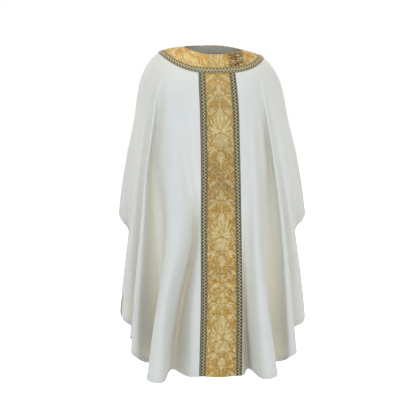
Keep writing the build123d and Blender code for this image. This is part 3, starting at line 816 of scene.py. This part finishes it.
def lay_braid(name, cloth, across, along, drop, axis, shift=0.0, tone_gain=1.0, tone_base=0.0):
    """A braid with a line of stitches near each edge; axis is the one that runs across."""
    points, normals, wave = cloth
    height, tone = braid_pattern(across * GALLOON_WIDTH / BRAID_WIDTH, along + shift)
    body = np.ones(across.shape)
    turned = np.swapaxes(body, 0, axis)
    turned[[0, -1]] = 0.4
    turned[:, [0, -1]] = 0.5
    bed = wave + BRAID_BED - drop
    outer = points + normals * (bed + BRAID_BODY * body + height)[..., None]
    inner = points + normals * bed[..., None]
    tone = np.clip(tone * tone_gain + tone_base, 0, 1)
    braid = sheet(name, BRAID, outer, inner, {"tone": tone}, (across, along))
    distance = np.swapaxes(across, 0, axis)[:, 0]
    # stitch paths take every second point along the yoke's braid, and points about 3 mm apart
    # down the centre columns
    stride = 2 if axis == 1 else max(1, int(3.0 / BRAID_ALONG))
    lines = []
    for place in (1.9, 22.3):
        k = int(np.argmin(abs(distance - place)))
        path, facing = (np.swapaxes(grid, 0, axis)[k, ::stride] for grid in (outer, normals))
        lines.append(stitches(GOLD_THREAD, path, facing, lift=0.06, radius=0.22))
    join(braid, *lines)
    return braid


# ---------------------------------------------------------------- materials
def srgb(red, green, blue):
    """Linear RGBA of an 8-bit sRGB colour."""
    shares = (value / 255 for value in (red, green, blue))
    return (*(share / 12.92 if share <= 0.04045 else ((share + 0.055) / 1.055) ** 2.4
              for share in shares), 1)


def scaled(colour, factor):
    return (*(value * factor for value in colour[:3]), 1)


AS_IS = (1, 1, 1)                       # a mapping that leaves its vector as it is


class Nodes:
    """Short ways to write a node tree; a value may be a number, a colour or a socket."""

    def __init__(self, tree):
        self.tree = tree

    def put(self, node, socket, value):
        if isinstance(value, bpy.types.NodeSocket):
            self.tree.links.new(value, node.inputs[socket])
        else:
            node.inputs[socket].default_value = value

    def node(self, kind, **inputs):
        node = self.tree.nodes.new(kind)
        for name, value in inputs.items():
            self.put(node, name.replace("_", " "), value)
        return node

    def shade(self, **inputs):
        for name, value in inputs.items():
            self.put(self.shader, name.replace("_", " "), value)

    def calc(self, operation, first, second=0.0, third=0.0, clamp=False):
        node = self.node("ShaderNodeMath")
        node.operation = operation
        node.use_clamp = clamp
        for i, value in enumerate((first, second, third)):
            self.put(node, i, value)
        return node.outputs[0]

    def add(self, first, second):
        return self.calc("ADD", first, second)

    def times(self, first, second):
        return self.calc("MULTIPLY", first, second)

    def linear(self, value, gain, offset):
        return self.calc("MULTIPLY_ADD", value, gain, offset)

    def fade(self, value, gain, offset):
        """Gain and offset, clamped to 0..1."""
        return self.calc("MULTIPLY_ADD", value, gain, offset, clamp=True)

    def mix(self, share, base, top, blend_type="MIX"):
        node = self.node("ShaderNodeMix")
        node.data_type = "RGBA"
        node.blend_type = blend_type
        for socket, value in ((0, share), (6, base), (7, top)):
            self.put(node, socket, value)
        return node.outputs[2]

    def stain(self, colour, red, green, blue):
        """The colour multiplied by another."""
        return self.mix(1.0, colour, (red, green, blue, 1), "MULTIPLY")

    def attribute(self, name):
        node = self.node("ShaderNodeAttribute")
        node.attribute_name = name
        return node.outputs["Fac"]

    def uv(self):
        node = self.node("ShaderNodeUVMap")
        node.uv_map = "cloth"
        return node.outputs[0]

    def mapped(self, vector, stretch=AS_IS, turn=(0, 0, 0), move=(0, 0, 0)):
        return self.node("ShaderNodeMapping", Vector=vector, Scale=stretch, Rotation=turn,
                         Location=move).outputs[0]

    def noise(self, vector, scale=1.0, detail=3.0, rough=0.5, stretch=None, move=(0, 0, 0)):
        if stretch is not None:
            vector = self.mapped(vector, stretch, move=move)
        return self.node("ShaderNodeTexNoise", Vector=vector, Scale=scale, Detail=detail,
                         Roughness=rough).outputs[0]

    def wave(self, vector, scale, direction, distortion, detail, turn=None):
        """Bands; turn adds a mapping with that rotation."""
        if turn is not None:
            vector = self.mapped(vector, turn=turn)
        node = self.node("ShaderNodeTexWave", Vector=vector, Scale=scale,
                         Distortion=distortion, Detail_Scale=detail)
        node.wave_type = "BANDS"
        node.bands_direction = direction
        return node.outputs["Fac"]

    def ramp(self, share, *stops):
        node = self.node("ShaderNodeValToRGB")
        self.put(node, 0, share)
        elements = node.color_ramp.elements
        while len(elements) < len(stops):
            elements.new(0.5)
        for element, (position, colour) in zip(elements, stops):
            element.position = position
            element.color = colour
        return node.outputs[0]

    def bump(self, height, strength, distance):
        return self.node("ShaderNodeBump", Height=height, Strength=strength,
                         Distance=distance).outputs[0]


def new_material(name):
    """A material with a principled shader, and its nodes."""
    material = bpy.data.materials.new(name)
    material.use_nodes = True
    net = Nodes(material.node_tree)
    net.tree.nodes.clear()
    net.output = net.node("ShaderNodeOutputMaterial")
    net.shader = net.node("ShaderNodeBsdfPrincipled")
    net.put(net.output, 0, net.shader.outputs[0])
    return material, net


def crepe(name, tint, glow):
    """Matt crepe: a pebbled weave, slight slubs, and a share (glow) of light through it."""
    material, net = new_material(name)
    uv = net.uv()
    warp = net.wave(uv, 1050, "X", distortion=3.5, detail=2.0, turn=(0, 0, 0))
    weft = net.wave(uv, 820, "Y", distortion=4.5, detail=2.0, turn=(0, 0, 0))
    pebble = net.noise(uv, 1500, detail=4.0, rough=0.62, stretch=(1, 0.8, 1))
    slub = net.noise(uv, detail=2.0, stretch=(420, 24, 1))
    cross_slub = net.noise(uv, detail=2.0, stretch=(20, 520, 1))
    broad = net.noise(uv, detail=2.0, stretch=(9, 3.5, 1))
    height = net.add(net.times(warp, 0.35), net.times(weft, 0.35))
    height = net.add(height, net.times(pebble, 1.1))
    height = net.add(height, net.times(net.add(slub, cross_slub), 0.35))
    colour = net.mix(net.fade(broad, gain=1.6, offset=-0.3),
                     scaled(tint, 0.975), scaled(tint, 1.015))
    # light that bounces about in the hollows comes back a little stronger and creamier
    colour = net.mix(net.attribute("hollow"), colour, (0.985, 0.97, 0.875, 1))
    colour = net.mix(net.fade(pebble, gain=2.6, offset=-0.8),
                     net.stain(colour, 0.93, 0.925, 0.90), colour)
    pale_slub = net.fade(slub, gain=5.0, offset=-2.7)
    colour = net.mix(net.times(pale_slub, 0.35), colour, scaled(tint, 1.05))
    at_stitches = net.calc("COMPARE", net.attribute("hem_d"), STITCH_LINE, 0.5)
    colour = net.mix(net.times(at_stitches, 0.25), colour, scaled(tint, 0.8))
    net.shade(Base_Color=colour, Roughness=net.linear(pebble, gain=0.2, offset=0.68),
              Specular_IOR_Level=0.22, Sheen_Weight=0.22, Sheen_Roughness=0.45,
              Sheen_Tint=(0.96, 0.98, 1.0, 1),
              Normal=net.bump(height, strength=0.30, distance=0.00025))
    through = net.node("ShaderNodeBsdfTranslucent", Color=(0.96, 0.84, 0.54, 1))
    both = net.node("ShaderNodeMixShader")
    for socket, value in enumerate((glow, net.shader.outputs[0], through.outputs[0])):
        net.put(both, socket, value)
    net.put(net.output, 0, both.outputs[0])
    return material


def brocade():
    """Golden satin ground, raised cream-gold figure, fine ribs, pale and dark specks, and
    painted shade and painted glints of the satin's sheen.
    """
    material, net = new_material("gold_brocade")
    uv = net.uv()
    distance = net.attribute("fig")
    dusk = net.attribute("dusk")
    fig = net.fade(distance, gain=-1.6, offset=0.5)
    inner = net.fade(distance, gain=-0.9, offset=-1.5)
    off_rim = net.calc("ABSOLUTE", net.calc("SUBTRACT", distance, 0.35))
    rim = net.calc("SUBTRACT", 1.0, net.times(off_rim, 1.7), clamp=True)
    broad = net.noise(uv, rough=0.55, stretch=(13, 6, 1))
    medium = net.noise(uv, rough=0.6, stretch=(70, 45, 1), move=(3.1, 7.7, 0))
    fine = net.noise(uv, 900, rough=0.6, stretch=AS_IS)
    rib = net.wave(uv, 560, "Y", distortion=1.2, detail=3.0, turn=(0, 0, 0))
    twill = net.wave(uv, 470, "X", distortion=1.0, detail=3.0, turn=(0, 0, math.radians(28)))
    # ground, figure, and the body inside the figure's outline
    ground = net.mix(net.fade(broad, gain=2.2, offset=-0.6),
                     srgb(176, 125, 42), srgb(217, 167, 70))
    ground = net.mix(net.times(twill, 0.30), ground, srgb(136, 94, 28))
    ground = net.mix(net.fade(medium, gain=1.8, offset=-0.75), ground, srgb(236, 190, 88))
    raised = net.mix(net.fade(medium, gain=2.6, offset=-0.8),
                     srgb(200, 166, 90), srgb(250, 230, 172))
    raised = net.mix(net.times(rib, 0.32), raised, srgb(158, 126, 66))
    body = net.mix(net.fade(medium, gain=2.0, offset=-0.6),
                   srgb(172, 134, 62), srgb(222, 190, 110))
    raised = net.mix(net.times(inner, 0.85), raised, body)
    colour = net.mix(fig, ground, raised)
    colour = net.mix(net.times(rim, 0.55), colour, srgb(112, 76, 26))
    # dark and pale specks
    speck = net.noise(uv, rough=0.65, stretch=(230, 190, 1), move=(1.7, 4.2, 0))
    colour = net.mix(net.fade(speck, gain=3.4, offset=-1.55), colour,
                     net.stain(colour, 0.80, 0.76, 0.68))
    colour = net.mix(net.fade(speck, gain=-4.2, offset=1.75), colour,
                     net.mix(0.45, colour, srgb(250, 232, 172)))
    # painted sheen of the satin: patches and blots of painted shade, and painted glints, where
    # the attribute read above is strong
    rough_patch = net.fade(net.add(speck, net.times(medium, 0.5)), gain=5.0, offset=-2.9)
    shade_patch = net.calc("MULTIPLY", dusk, rough_patch, clamp=True)
    colour = net.mix(net.times(shade_patch, 0.92), colour, net.stain(colour, 0.26, 0.20, 0.13))
    strong = net.fade(dusk, gain=2.4, offset=-1.4)
    blot = net.noise(uv, detail=2.0, rough=0.55, stretch=(112, 92, 1), move=(5.3, 2.9, 0))
    deep = net.times(strong, net.fade(blot, gain=9.0, offset=-4.3))
    glint = net.times(strong, net.fade(blot, gain=-9.0, offset=4.1))
    colour = net.mix(net.times(deep, 0.92), colour, net.stain(colour, 0.24, 0.15, 0.06))
    colour = net.mix(net.times(glint, 0.6), colour, srgb(255, 226, 150))
    colour = net.mix(net.fade(fine, gain=1.4, offset=-0.45),
                     net.stain(colour, 0.78, 0.76, 0.72), colour)
    net.shade(Base_Color=colour, Metallic=net.linear(fig, gain=-0.10, offset=0.26),
              Roughness=net.linear(medium, gain=0.16,
                                   offset=net.linear(fig, gain=0.10, offset=0.36)),
              Anisotropic=0.45, Specular_IOR_Level=0.5, Sheen_Weight=0.15,
              Sheen_Tint=(1.0, 0.86, 0.55, 1))
    weave = net.mix(fig, twill, rib)
    height = net.add(net.times(weave, 0.5), net.times(fine, 0.6))
    net.shade(Normal=net.bump(height, strength=0.35, distance=0.00022))
    return material


def braid_material():
    """Woven braid: dark olive ground, pale twisted cord, a little metallic thread."""
    material, net = new_material("galloon_braid")
    uv = net.uv()
    tone = net.attribute("tone")
    fine = net.noise(uv, 1300, rough=0.6, stretch=AS_IS)
    broad = net.noise(uv, detail=2.0, stretch=(60, 60, 1))
    twist = net.wave(uv, 640, "X", distortion=1.5, detail=3.0, turn=(0, 0, math.radians(38)))
    colour = net.ramp(tone, (0.0, srgb(62, 51, 30)), (0.16, srgb(94, 79, 49)),
                      (0.42, srgb(144, 126, 85)), (0.64, srgb(180, 166, 123)),
                      (1.0, srgb(224, 214, 178)))
    colour = net.mix(net.times(twist, 0.34), colour, net.stain(colour, 0.45, 0.42, 0.34))
    colour = net.mix(net.fade(broad, gain=1.6, offset=-0.5),
                     net.stain(colour, 0.84, 0.84, 0.80), colour)
    net.shade(Base_Color=colour, Metallic=0.12,
              Roughness=net.linear(fine, gain=0.3, offset=0.40),
              Specular_IOR_Level=0.4, Sheen_Weight=0.1)
    height = net.add(net.times(twist, 0.8), net.times(fine, 0.6))
    net.shade(Normal=net.bump(height, strength=0.45, distance=0.00028))
    return material


def canvas(name, tint, scale, roughness):
    """Plain weave; scale sets how fine its threads are."""
    material, net = new_material(name)
    uv = net.uv()
    warp = net.wave(uv, scale, "X", distortion=0.8, detail=3.0)
    weft = net.wave(uv, scale, "Y", distortion=0.8, detail=3.0)
    fine = net.noise(uv, scale * 1.3, rough=0.6, stretch=AS_IS)
    broad = net.noise(uv, detail=2.0, stretch=(16, 9, 1))
    weave = net.calc("MAXIMUM", warp, weft)
    colour = net.mix(net.fade(weave, gain=1.5, offset=-0.5), scaled(tint, 0.74), tint)
    colour = net.mix(net.fade(broad, gain=1.6, offset=-0.4),
                     net.stain(colour, 0.94, 0.93, 0.89), colour)
    net.shade(Base_Color=colour, Roughness=net.linear(fine, gain=0.2, offset=roughness),
              Sheen_Weight=0.15,
              Normal=net.bump(net.add(weave, net.times(fine, 0.5)),
                              strength=0.4, distance=0.0003))
    return material


def thread(name, tint):
    material, net = new_material(name)
    place = net.node("ShaderNodeTexCoord").outputs["Object"]
    twist = net.wave(place, 1500, "X", distortion=1.0, detail=2.0, turn=(0.4, 0.5, 0.6))
    broad = net.noise(place, 240, detail=2.0)
    colour = net.mix(twist, scaled(tint, 0.72), tint)
    colour = net.mix(net.fade(broad, gain=1.5, offset=-0.3),
                     net.stain(colour, 0.9, 0.89, 0.86), colour)
    net.shade(Base_Color=colour, Roughness=0.5, Sheen_Weight=0.3,
              Normal=net.bump(twist, strength=0.4, distance=0.0001))
    return material


CREPE = crepe("crepe_cloth", srgb(230, 230, 228), glow=0.28)
TURNED = crepe("crepe_turned", srgb(233, 231, 222), glow=0.24)
BROCADE = brocade()
BRAID = braid_material()
CANVAS = canvas("canvas_interfacing", srgb(232, 230, 220), scale=330, roughness=0.8)
LINING = canvas("facing_cloth", srgb(234, 230, 214), scale=900, roughness=0.5)
THREAD = thread("ivory_thread", srgb(230, 227, 214))
GOLD_THREAD = thread("gold_thread", srgb(150, 130, 78))


def assign(obj, piece, side=None):
    """Hide the piece an object replaces; an object without a side moves with the yoke body, the
    others have their transform baked.
    """
    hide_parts(piece)
    if side is None:
        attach(obj, "yoke_body")
    else:
        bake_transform(obj)


def side_panel(side, half, low, high):
    """Cloth with its hem stitching, and the turned hem behind it."""
    first, last = (line + sign * (0.006 if line % SHOULDER_RIGHT == 0 else 0.004)
                   for line, sign in ((low, 1), (high, -1)))
    cloth = cloth_panel(f"cloth_{half}_{side}", first, last)
    columns = spaced_columns(first + 0.02, last - 0.02, 3.0)
    points, normals, wave = cloth_at(columns, rows_up(columns, np.array([STITCH_LINE])))
    path = points + normals * wave[..., None]
    join(cloth, stitches(THREAD, path[:, 0], normals[:, 0], lift=-0.05))
    assign(cloth, f"panel_{half}_{side}", side)
    hem = turned_hem(f"turned_hem_{half}_{side}", first + 0.02, last - 0.02)
    assign(hem, f"hem_{half}_{side}", side)


def shoulder_seam(side, seam):
    """A felled strip inside the cloth below the shoulder, with two lines of stitches."""
    half_width, inside = 7.0, -2.0
    per_mm = 0.06 / np.linalg.norm(np.diff(surface([seam - 0.03, seam + 0.03], 1.6), axis=0))
    reach = half_width * per_mm         # the half width in column numbers
    columns = seam + reach * np.linspace(-1, 1, 9)
    line = lengths(np.array([seam]))[1][0]
    rows = rows_down(columns, np.linspace(4, line - 24, 90))
    strip = lay(f"felled_seam_{side}", TURNED, columns, rows, -1.25, inside)
    threads = []
    for share in (-0.78, 0.78):
        column = np.array([seam + reach * share])
        points, normals, wave = cloth_at(column, rows_down(column, np.arange(6, line - 26, 3.0)))
        path = points + normals * (inside + wave)[..., None]
        threads.append(stitches(THREAD, path[0], -normals[0], lift=0.05))
    join(strip, *threads)
    assign(strip, f"shoulder_seam_{side}", side)


for side, seam, front_span, back_span in (
        ("left", 0.0, (0.0, FRONT_LINES[0]), (BACK_LINES[3], RING)),
        ("right", float(SHOULDER_RIGHT), (FRONT_LINES[3], SHOULDER_RIGHT),
         (SHOULDER_RIGHT, BACK_LINES[0]))):
    side_panel(side, "front", *front_span)
    side_panel(side, "back", *back_span)
    shoulder_seam(side, seam)


def centre_cloth(half, first, last):
    """Cloth, turned hem and stiffening of the centre column."""
    cloth = cloth_panel(f"cloth_centre_{half}", first + 0.004, last - 0.004)
    assign(cloth, f"centre_panel_{half}")
    hem = turned_hem(f"turned_hem_centre_{half}", first + 0.02, last - 0.02)
    assign(hem, f"centre_hem_{half}")
    columns, _, _ = inset_columns(first, last, 3.5, 3.5, 12.0)
    line = lengths(columns)[1][:, None]
    rows = rows_down(columns, -1.5 + np.linspace(0, 1, 90) * (line - 1.5))
    stiffening = lay(f"stiffening_centre_{half}", CANVAS, columns, rows,
                     STIFFENING_OUT, STIFFENING_IN)
    assign(stiffening, f"orphrey_interfacing_{half}")


def centre_brocade(half, first, last):
    step = COLUMN_STEPS[half]
    columns, _, _ = inset_columns(first, last, 2.5, 2.5, step)
    line = lengths(columns)[1][:, None]
    body = -2.0 + np.linspace(0, 1, int(1180 / step)) * (line - 2.0)
    down = np.concatenate([body, line - np.array([2.5, 1.6, 0.9, 0.35, 0.0])], 1)
    up = line - down
    rows = rows_down(columns, down)
    across = travel(surface(columns[:, None], rows))
    across = across - across[-1:] / 2
    fig = figure(across, up + 32.0)
    relief = brocade_relief(fig) - 0.25 * np.exp(-(up / 1.0) ** 2)
    # painted shade of the satin's sheen: darker bands at three heights above the hem, the widest
    # of them mottled
    dusk = 0.62 * np.exp(-(((up - 770) / 120) ** 2))
    dusk = dusk * (0.75 + 0.25 * np.sin(up / 23.0 + across / 17.0))
    dusk = dusk + 0.25 * np.exp(-(((up - 1060) / 60) ** 2))
    dusk = np.clip(dusk + 0.2 * np.exp(-(((up - 420) / 30) ** 2)), 0, 1)
    column = lay(f"brocade_column_{half}", BROCADE, columns, rows, BROCADE_OUT, BROCADE_IN,
                 relief=relief, attributes={"fig": fig, "dusk": dusk}, uv=(across, up))
    assign(column, f"orphrey_{half}")


def centre_braid(half, side, first, last, outer_first):
    """A braid down one edge of the centre column; outer_first if first is its outer edge."""
    overhangs = (-BRAID_OVERHANG, 0.0) if outer_first else (0.0, -BRAID_OVERHANG)
    columns, distance, width = inset_columns(first, last, *overhangs, BRAID_ACROSS)
    from_edge = BRAID_OVERHANG + (distance if outer_first else width - distance)
    line = lengths(columns)[1][:, None]
    along = 1.3 + np.linspace(0, 1, int(1180 / BRAID_ALONG)) * (line + 0.2 - 1.3)
    across = np.repeat(from_edge[:, None], along.shape[1], 1)
    braid = lay_braid(f"braid_{half}_{side}", cloth_at(columns, rows_down(columns, along)),
                      across, along, BRAID_DROP * edge_drop(across), axis=0,
                      shift=3.0 if side == "left" else 0.0)
    assign(braid, f"galloon_{half}_{side}")


for half, lines, order in (("front", FRONT_LINES, ("left", "right")),
                           ("back", BACK_LINES, ("right", "left"))):
    centre_cloth(half, lines[0], lines[3])
    centre_brocade(half, lines[0], lines[3])
    centre_braid(half, order[0], lines[0], lines[1], outer_first=True)
    centre_braid(half, order[1], lines[2], lines[3], outer_first=False)


# ---------------------------------------------------------------- the yoke
def yoke_brocade(half, columns):
    """Brocade from a turning inside the neck, over its roll, out to the yoke's edge."""
    neck_row = 0.0005                   # as close to the neck edge as a row may come
    angles = np.radians([270, 245, 220, 195, 170, 145, 120, 100])
    inside = np.array([7.0, 5.0, 3.0])
    yoke = lengths(columns)[0][:, None]
    share = np.linspace(0, 1, int(95 / (YOKE_STEP * 0.85)))
    outside = ROLL_RADIUS + share * (yoke - 2.5 - ROLL_RADIUS)

    def profile(radius):
        """Distances from the neck edge, rows and offsets of a face rolled at a radius."""
        start = np.concatenate([inside, ROLL_RADIUS + radius * np.cos(angles)])
        distance = np.concatenate([np.repeat(start[None], len(columns), 0), outside], 1)
        sides = np.concatenate([np.full(3, -1.0), np.sin(angles), np.ones(len(share))])
        offsets = BROCADE_OUT - ROLL_RADIUS + radius * sides
        return distance, np.maximum(distance / yoke, neck_row), offsets, sides

    distance, rows, out, sides = profile(ROLL_RADIUS)
    _, inner_rows, inn, _ = profile(ROLL_RADIUS - (BROCADE_OUT - BROCADE_IN))
    points, normals, wave = cloth_at(columns, rows, YOKE_WAVE)
    # the cloth laid flat: each half is cut upright from the piece
    upright = 1.0 if half == "front" else -1.0
    neck = surface(columns[:, None], neck_row)[..., :2] - (X_SHIFT, Y_SHIFT)
    outward = neck / np.linalg.norm(neck, axis=-1, keepdims=True)
    flat = (neck + outward * distance[..., None]) * upright
    x, z = flat[..., 0], flat[..., 1]
    fig = figure(x, z + 330.0)
    full = np.concatenate([np.zeros(len(inside) + len(angles)), np.clip(share * 95 / 4.0, 0, 1)])
    relief = brocade_relief(fig) * (0.35 + 0.65 * full)
    # the relief dies away and the cloth dips at the shoulder joins
    level = np.ones((len(columns), 1))
    level[[0, -1]] = 0.0
    level[[1, -2]] = 0.6
    height = wave + out + relief * sides * level - (1 - level) * 0.35
    outer = points + normals * height[..., None]
    inner = surface(columns[:, None], inner_rows) + normals * (wave + inn)[..., None]
    # painted sheen of the satin: strong painted shade and painted glints about 78 mm to one side
    # of the middle, weaker painted shade near the middle
    side_x = points[..., 0] * upright
    dusk = (1.15 * np.exp(-(((side_x - 78) / 35) ** 4))
            + 0.3 * np.exp(-(((side_x + 12) / 26) ** 2)))
    yoke_piece = sheet(f"brocade_yoke_{half}", BROCADE, outer, inner,
                       {"fig": fig, "dusk": np.clip(dusk, 0, 1)}, (x, z))
    assign(yoke_piece, f"yoke_{half}")


def yoke_backing(half, columns):
    """The stiffening under the brocade and the facing inside the neck."""
    yoke = lengths(columns)[0][:, None]
    rows = rows_neck(columns, 3.0 + np.linspace(0, 1, 16) * (yoke - 6.0))
    stiffening = lay(f"stiffening_yoke_{half}", CANVAS, columns, rows,
                     STIFFENING_OUT, STIFFENING_IN, YOKE_WAVE)
    assign(stiffening, f"yoke_interfacing_{half}")
    rows = rows_neck(columns, np.concatenate([[2.2, 2.8], np.linspace(5, 39, 12), [41.4, 42.0]]))
    facing = lay(f"facing_neck_{half}", LINING, columns, rows, -1.35, -1.95, YOKE_WAVE)
    assign(facing, f"neck_facing_{half}")


def yoke_braid(half, columns, places):
    """The braid along the yoke's edge; it sinks to the cloth away from the centre column."""
    distance = crisp(0.0, BRAID_WIDTH, int(round(BRAID_WIDTH / BRAID_ACROSS)), near=0.3)
    wave_share = np.clip(YOKE_WAVE + 0.4 * (distance - 12) / 12, YOKE_WAVE, 1.0)
    cloth = cloth_at(columns, rows_down(columns, distance - GALLOON_WIDTH), wave_share)
    along = np.repeat(places[:, None], len(distance), 1)
    across = np.repeat(distance[None, :], len(columns), 0)
    x = cloth[0][..., 0]
    column_half = np.where(x < X_SHIFT, SIDES[-1].column_half, SIDES[1].column_half)
    free = smooth(np.clip((np.abs(x - X_SHIFT) - column_half - 2.5) / 9.0, 0, 1))
    drop = BRAID_DROP * edge_drop(BRAID_WIDTH - across) * free - 0.25 * (1 - free)
    # painted light: the yoke's braid is painted paler than the column braids, for the light
    # falling on it from above
    braid = lay_braid(f"braid_yoke_{half}", cloth, across, along, drop, axis=1,
                      tone_gain=1.05, tone_base=0.13)
    assign(braid, f"yoke_galloon_{half}")


for half, first, last in (("front", 0, SHOULDER_RIGHT), ("back", SHOULDER_RIGHT, RING)):
    fine = np.linspace(first, last, 2400)
    edge = travel(surface(fine, 1.0))
    length = edge[-1]
    places = crisp(0, length, int(length / YOKE_STEP), near=0.6, inset=0.15)
    yoke_brocade(half, np.interp(places, edge, fine))
    places = np.concatenate([[0.4], np.linspace(0, length, 90)[1:-1], [length - 0.4]])
    yoke_backing(half, np.interp(places, edge, fine))
    places = crisp(0, length, int(length / BRAID_ALONG), near=0.6, inset=0.15)
    yoke_braid(half, np.interp(places, edge, fine), places)


# ---------------------------------------------------------------- floor, light and camera
def studio_floor(radius=9.0, height=-0.14, corners=96):
    """A pale disc, metres, that glows a little to the camera alone."""
    mesh = bpy.data.meshes.new("studio_floor")
    angles = [i * math.pi / (corners / 2) for i in range(corners)]
    rim = [(radius * math.cos(angle), radius * math.sin(angle), height) for angle in angles]
    mesh.from_pydata(rim, [], [list(range(corners))])
    floor = bpy.data.objects.new("studio_floor", mesh)
    bpy.context.scene.collection.objects.link(floor)
    material, net = new_material("pale_floor")
    place = net.node("ShaderNodeTexCoord").outputs["Object"]
    cloud = net.noise(place, 1.5)
    colour = net.mix(cloud, (0.89, 0.915, 0.95, 1), (0.91, 0.935, 0.965, 1))
    to_camera = net.node("ShaderNodeLightPath").outputs["Is Camera Ray"]
    net.shade(Base_Color=colour, Roughness=0.9, Emission_Color=(1.0, 1.0, 1.0, 1),
              Emission_Strength=net.times(to_camera, 0.80), Specular_IOR_Level=0.1)
    mesh.materials.append(material)


def studio_world():
    """White to the camera, warm to everything else."""
    world = bpy.data.worlds.new("studio")
    bpy.context.scene.world = world
    world.use_nodes = True
    net = Nodes(world.node_tree)
    to_camera = net.node("ShaderNodeLightPath").outputs["Is Camera Ray"]
    background = net.tree.nodes["Background"]
    colour = net.mix(to_camera, (0.70, 0.63, 0.465, 1), (1.0, 1.0, 1.0, 1))
    net.put(background, "Color", colour)
    net.put(background, "Strength", 1.0)


def aim(obj, target):
    direction = Vector(target) - obj.location
    obj.rotation_euler = direction.to_track_quat("-Z", "Y").to_euler()
    bpy.context.scene.collection.objects.link(obj)


COOL = (0.415, 0.635, 1.0)
REAR = (0.56, 0.74, 1.0)
WARM = (1.0, 0.96, 0.90)
# name, place, height aimed at on the z axis, size (metres), power (watts), colour
LIGHTS = [
    ("left_box", (-3.1, -3.3, 2.1), 0.7, (2.2, 2.6), 71.0, COOL),
    ("right_box", (3.0, -3.4, 2.1), 0.7, (2.2, 2.6), 70.0, COOL),
    ("front_box", (-0.3, -4.4, 2.6), 0.7, (1.8, 1.8), 30.0, COOL),
    ("top", (-0.1, 0.2, 4.0), 1.0, (1.8, 1.8), 40.0, WARM),
    ("rear_left", (-2.6, 3.4, 2.2), 0.7, (2.2, 2.6), 71.0, REAR),
    ("rear_right", (2.8, 3.2, 2.2), 0.7, (2.2, 2.6), 62.0, REAR),
]


def area_light(name, location, target_height, size, power, colour):
    light = bpy.data.lights.new(name, "AREA")
    light.shape = "RECTANGLE"
    light.size, light.size_y = size
    light.energy = power
    light.color = colour
    obj = bpy.data.objects.new(name, light)
    obj.location = location
    aim(obj, (0, 0, target_height))


def camera():
    """A long lens, a little to the left of the front and above the middle."""
    azimuth, elevation, distance = math.radians(-8.0), math.radians(8.0), 6.5
    target = Vector((-0.0186, 0.0115, 0.630))
    data = bpy.data.cameras.new("camera")
    data.sensor_width = 36.0
    data.lens = 143.5
    data.clip_end = 60.0
    obj = bpy.data.objects.new("camera", data)
    obj.location = target + distance * Vector((
        math.sin(azimuth) * math.cos(elevation), -math.cos(azimuth) * math.cos(elevation),
        math.sin(elevation)))
    aim(obj, target)
    bpy.context.scene.camera = obj


studio_floor()
studio_world()
for row in LIGHTS:
    area_light(*row)
camera()
bpy.context.scene.view_settings.view_transform = "Standard"
bpy.context.scene.view_settings.look = "None"
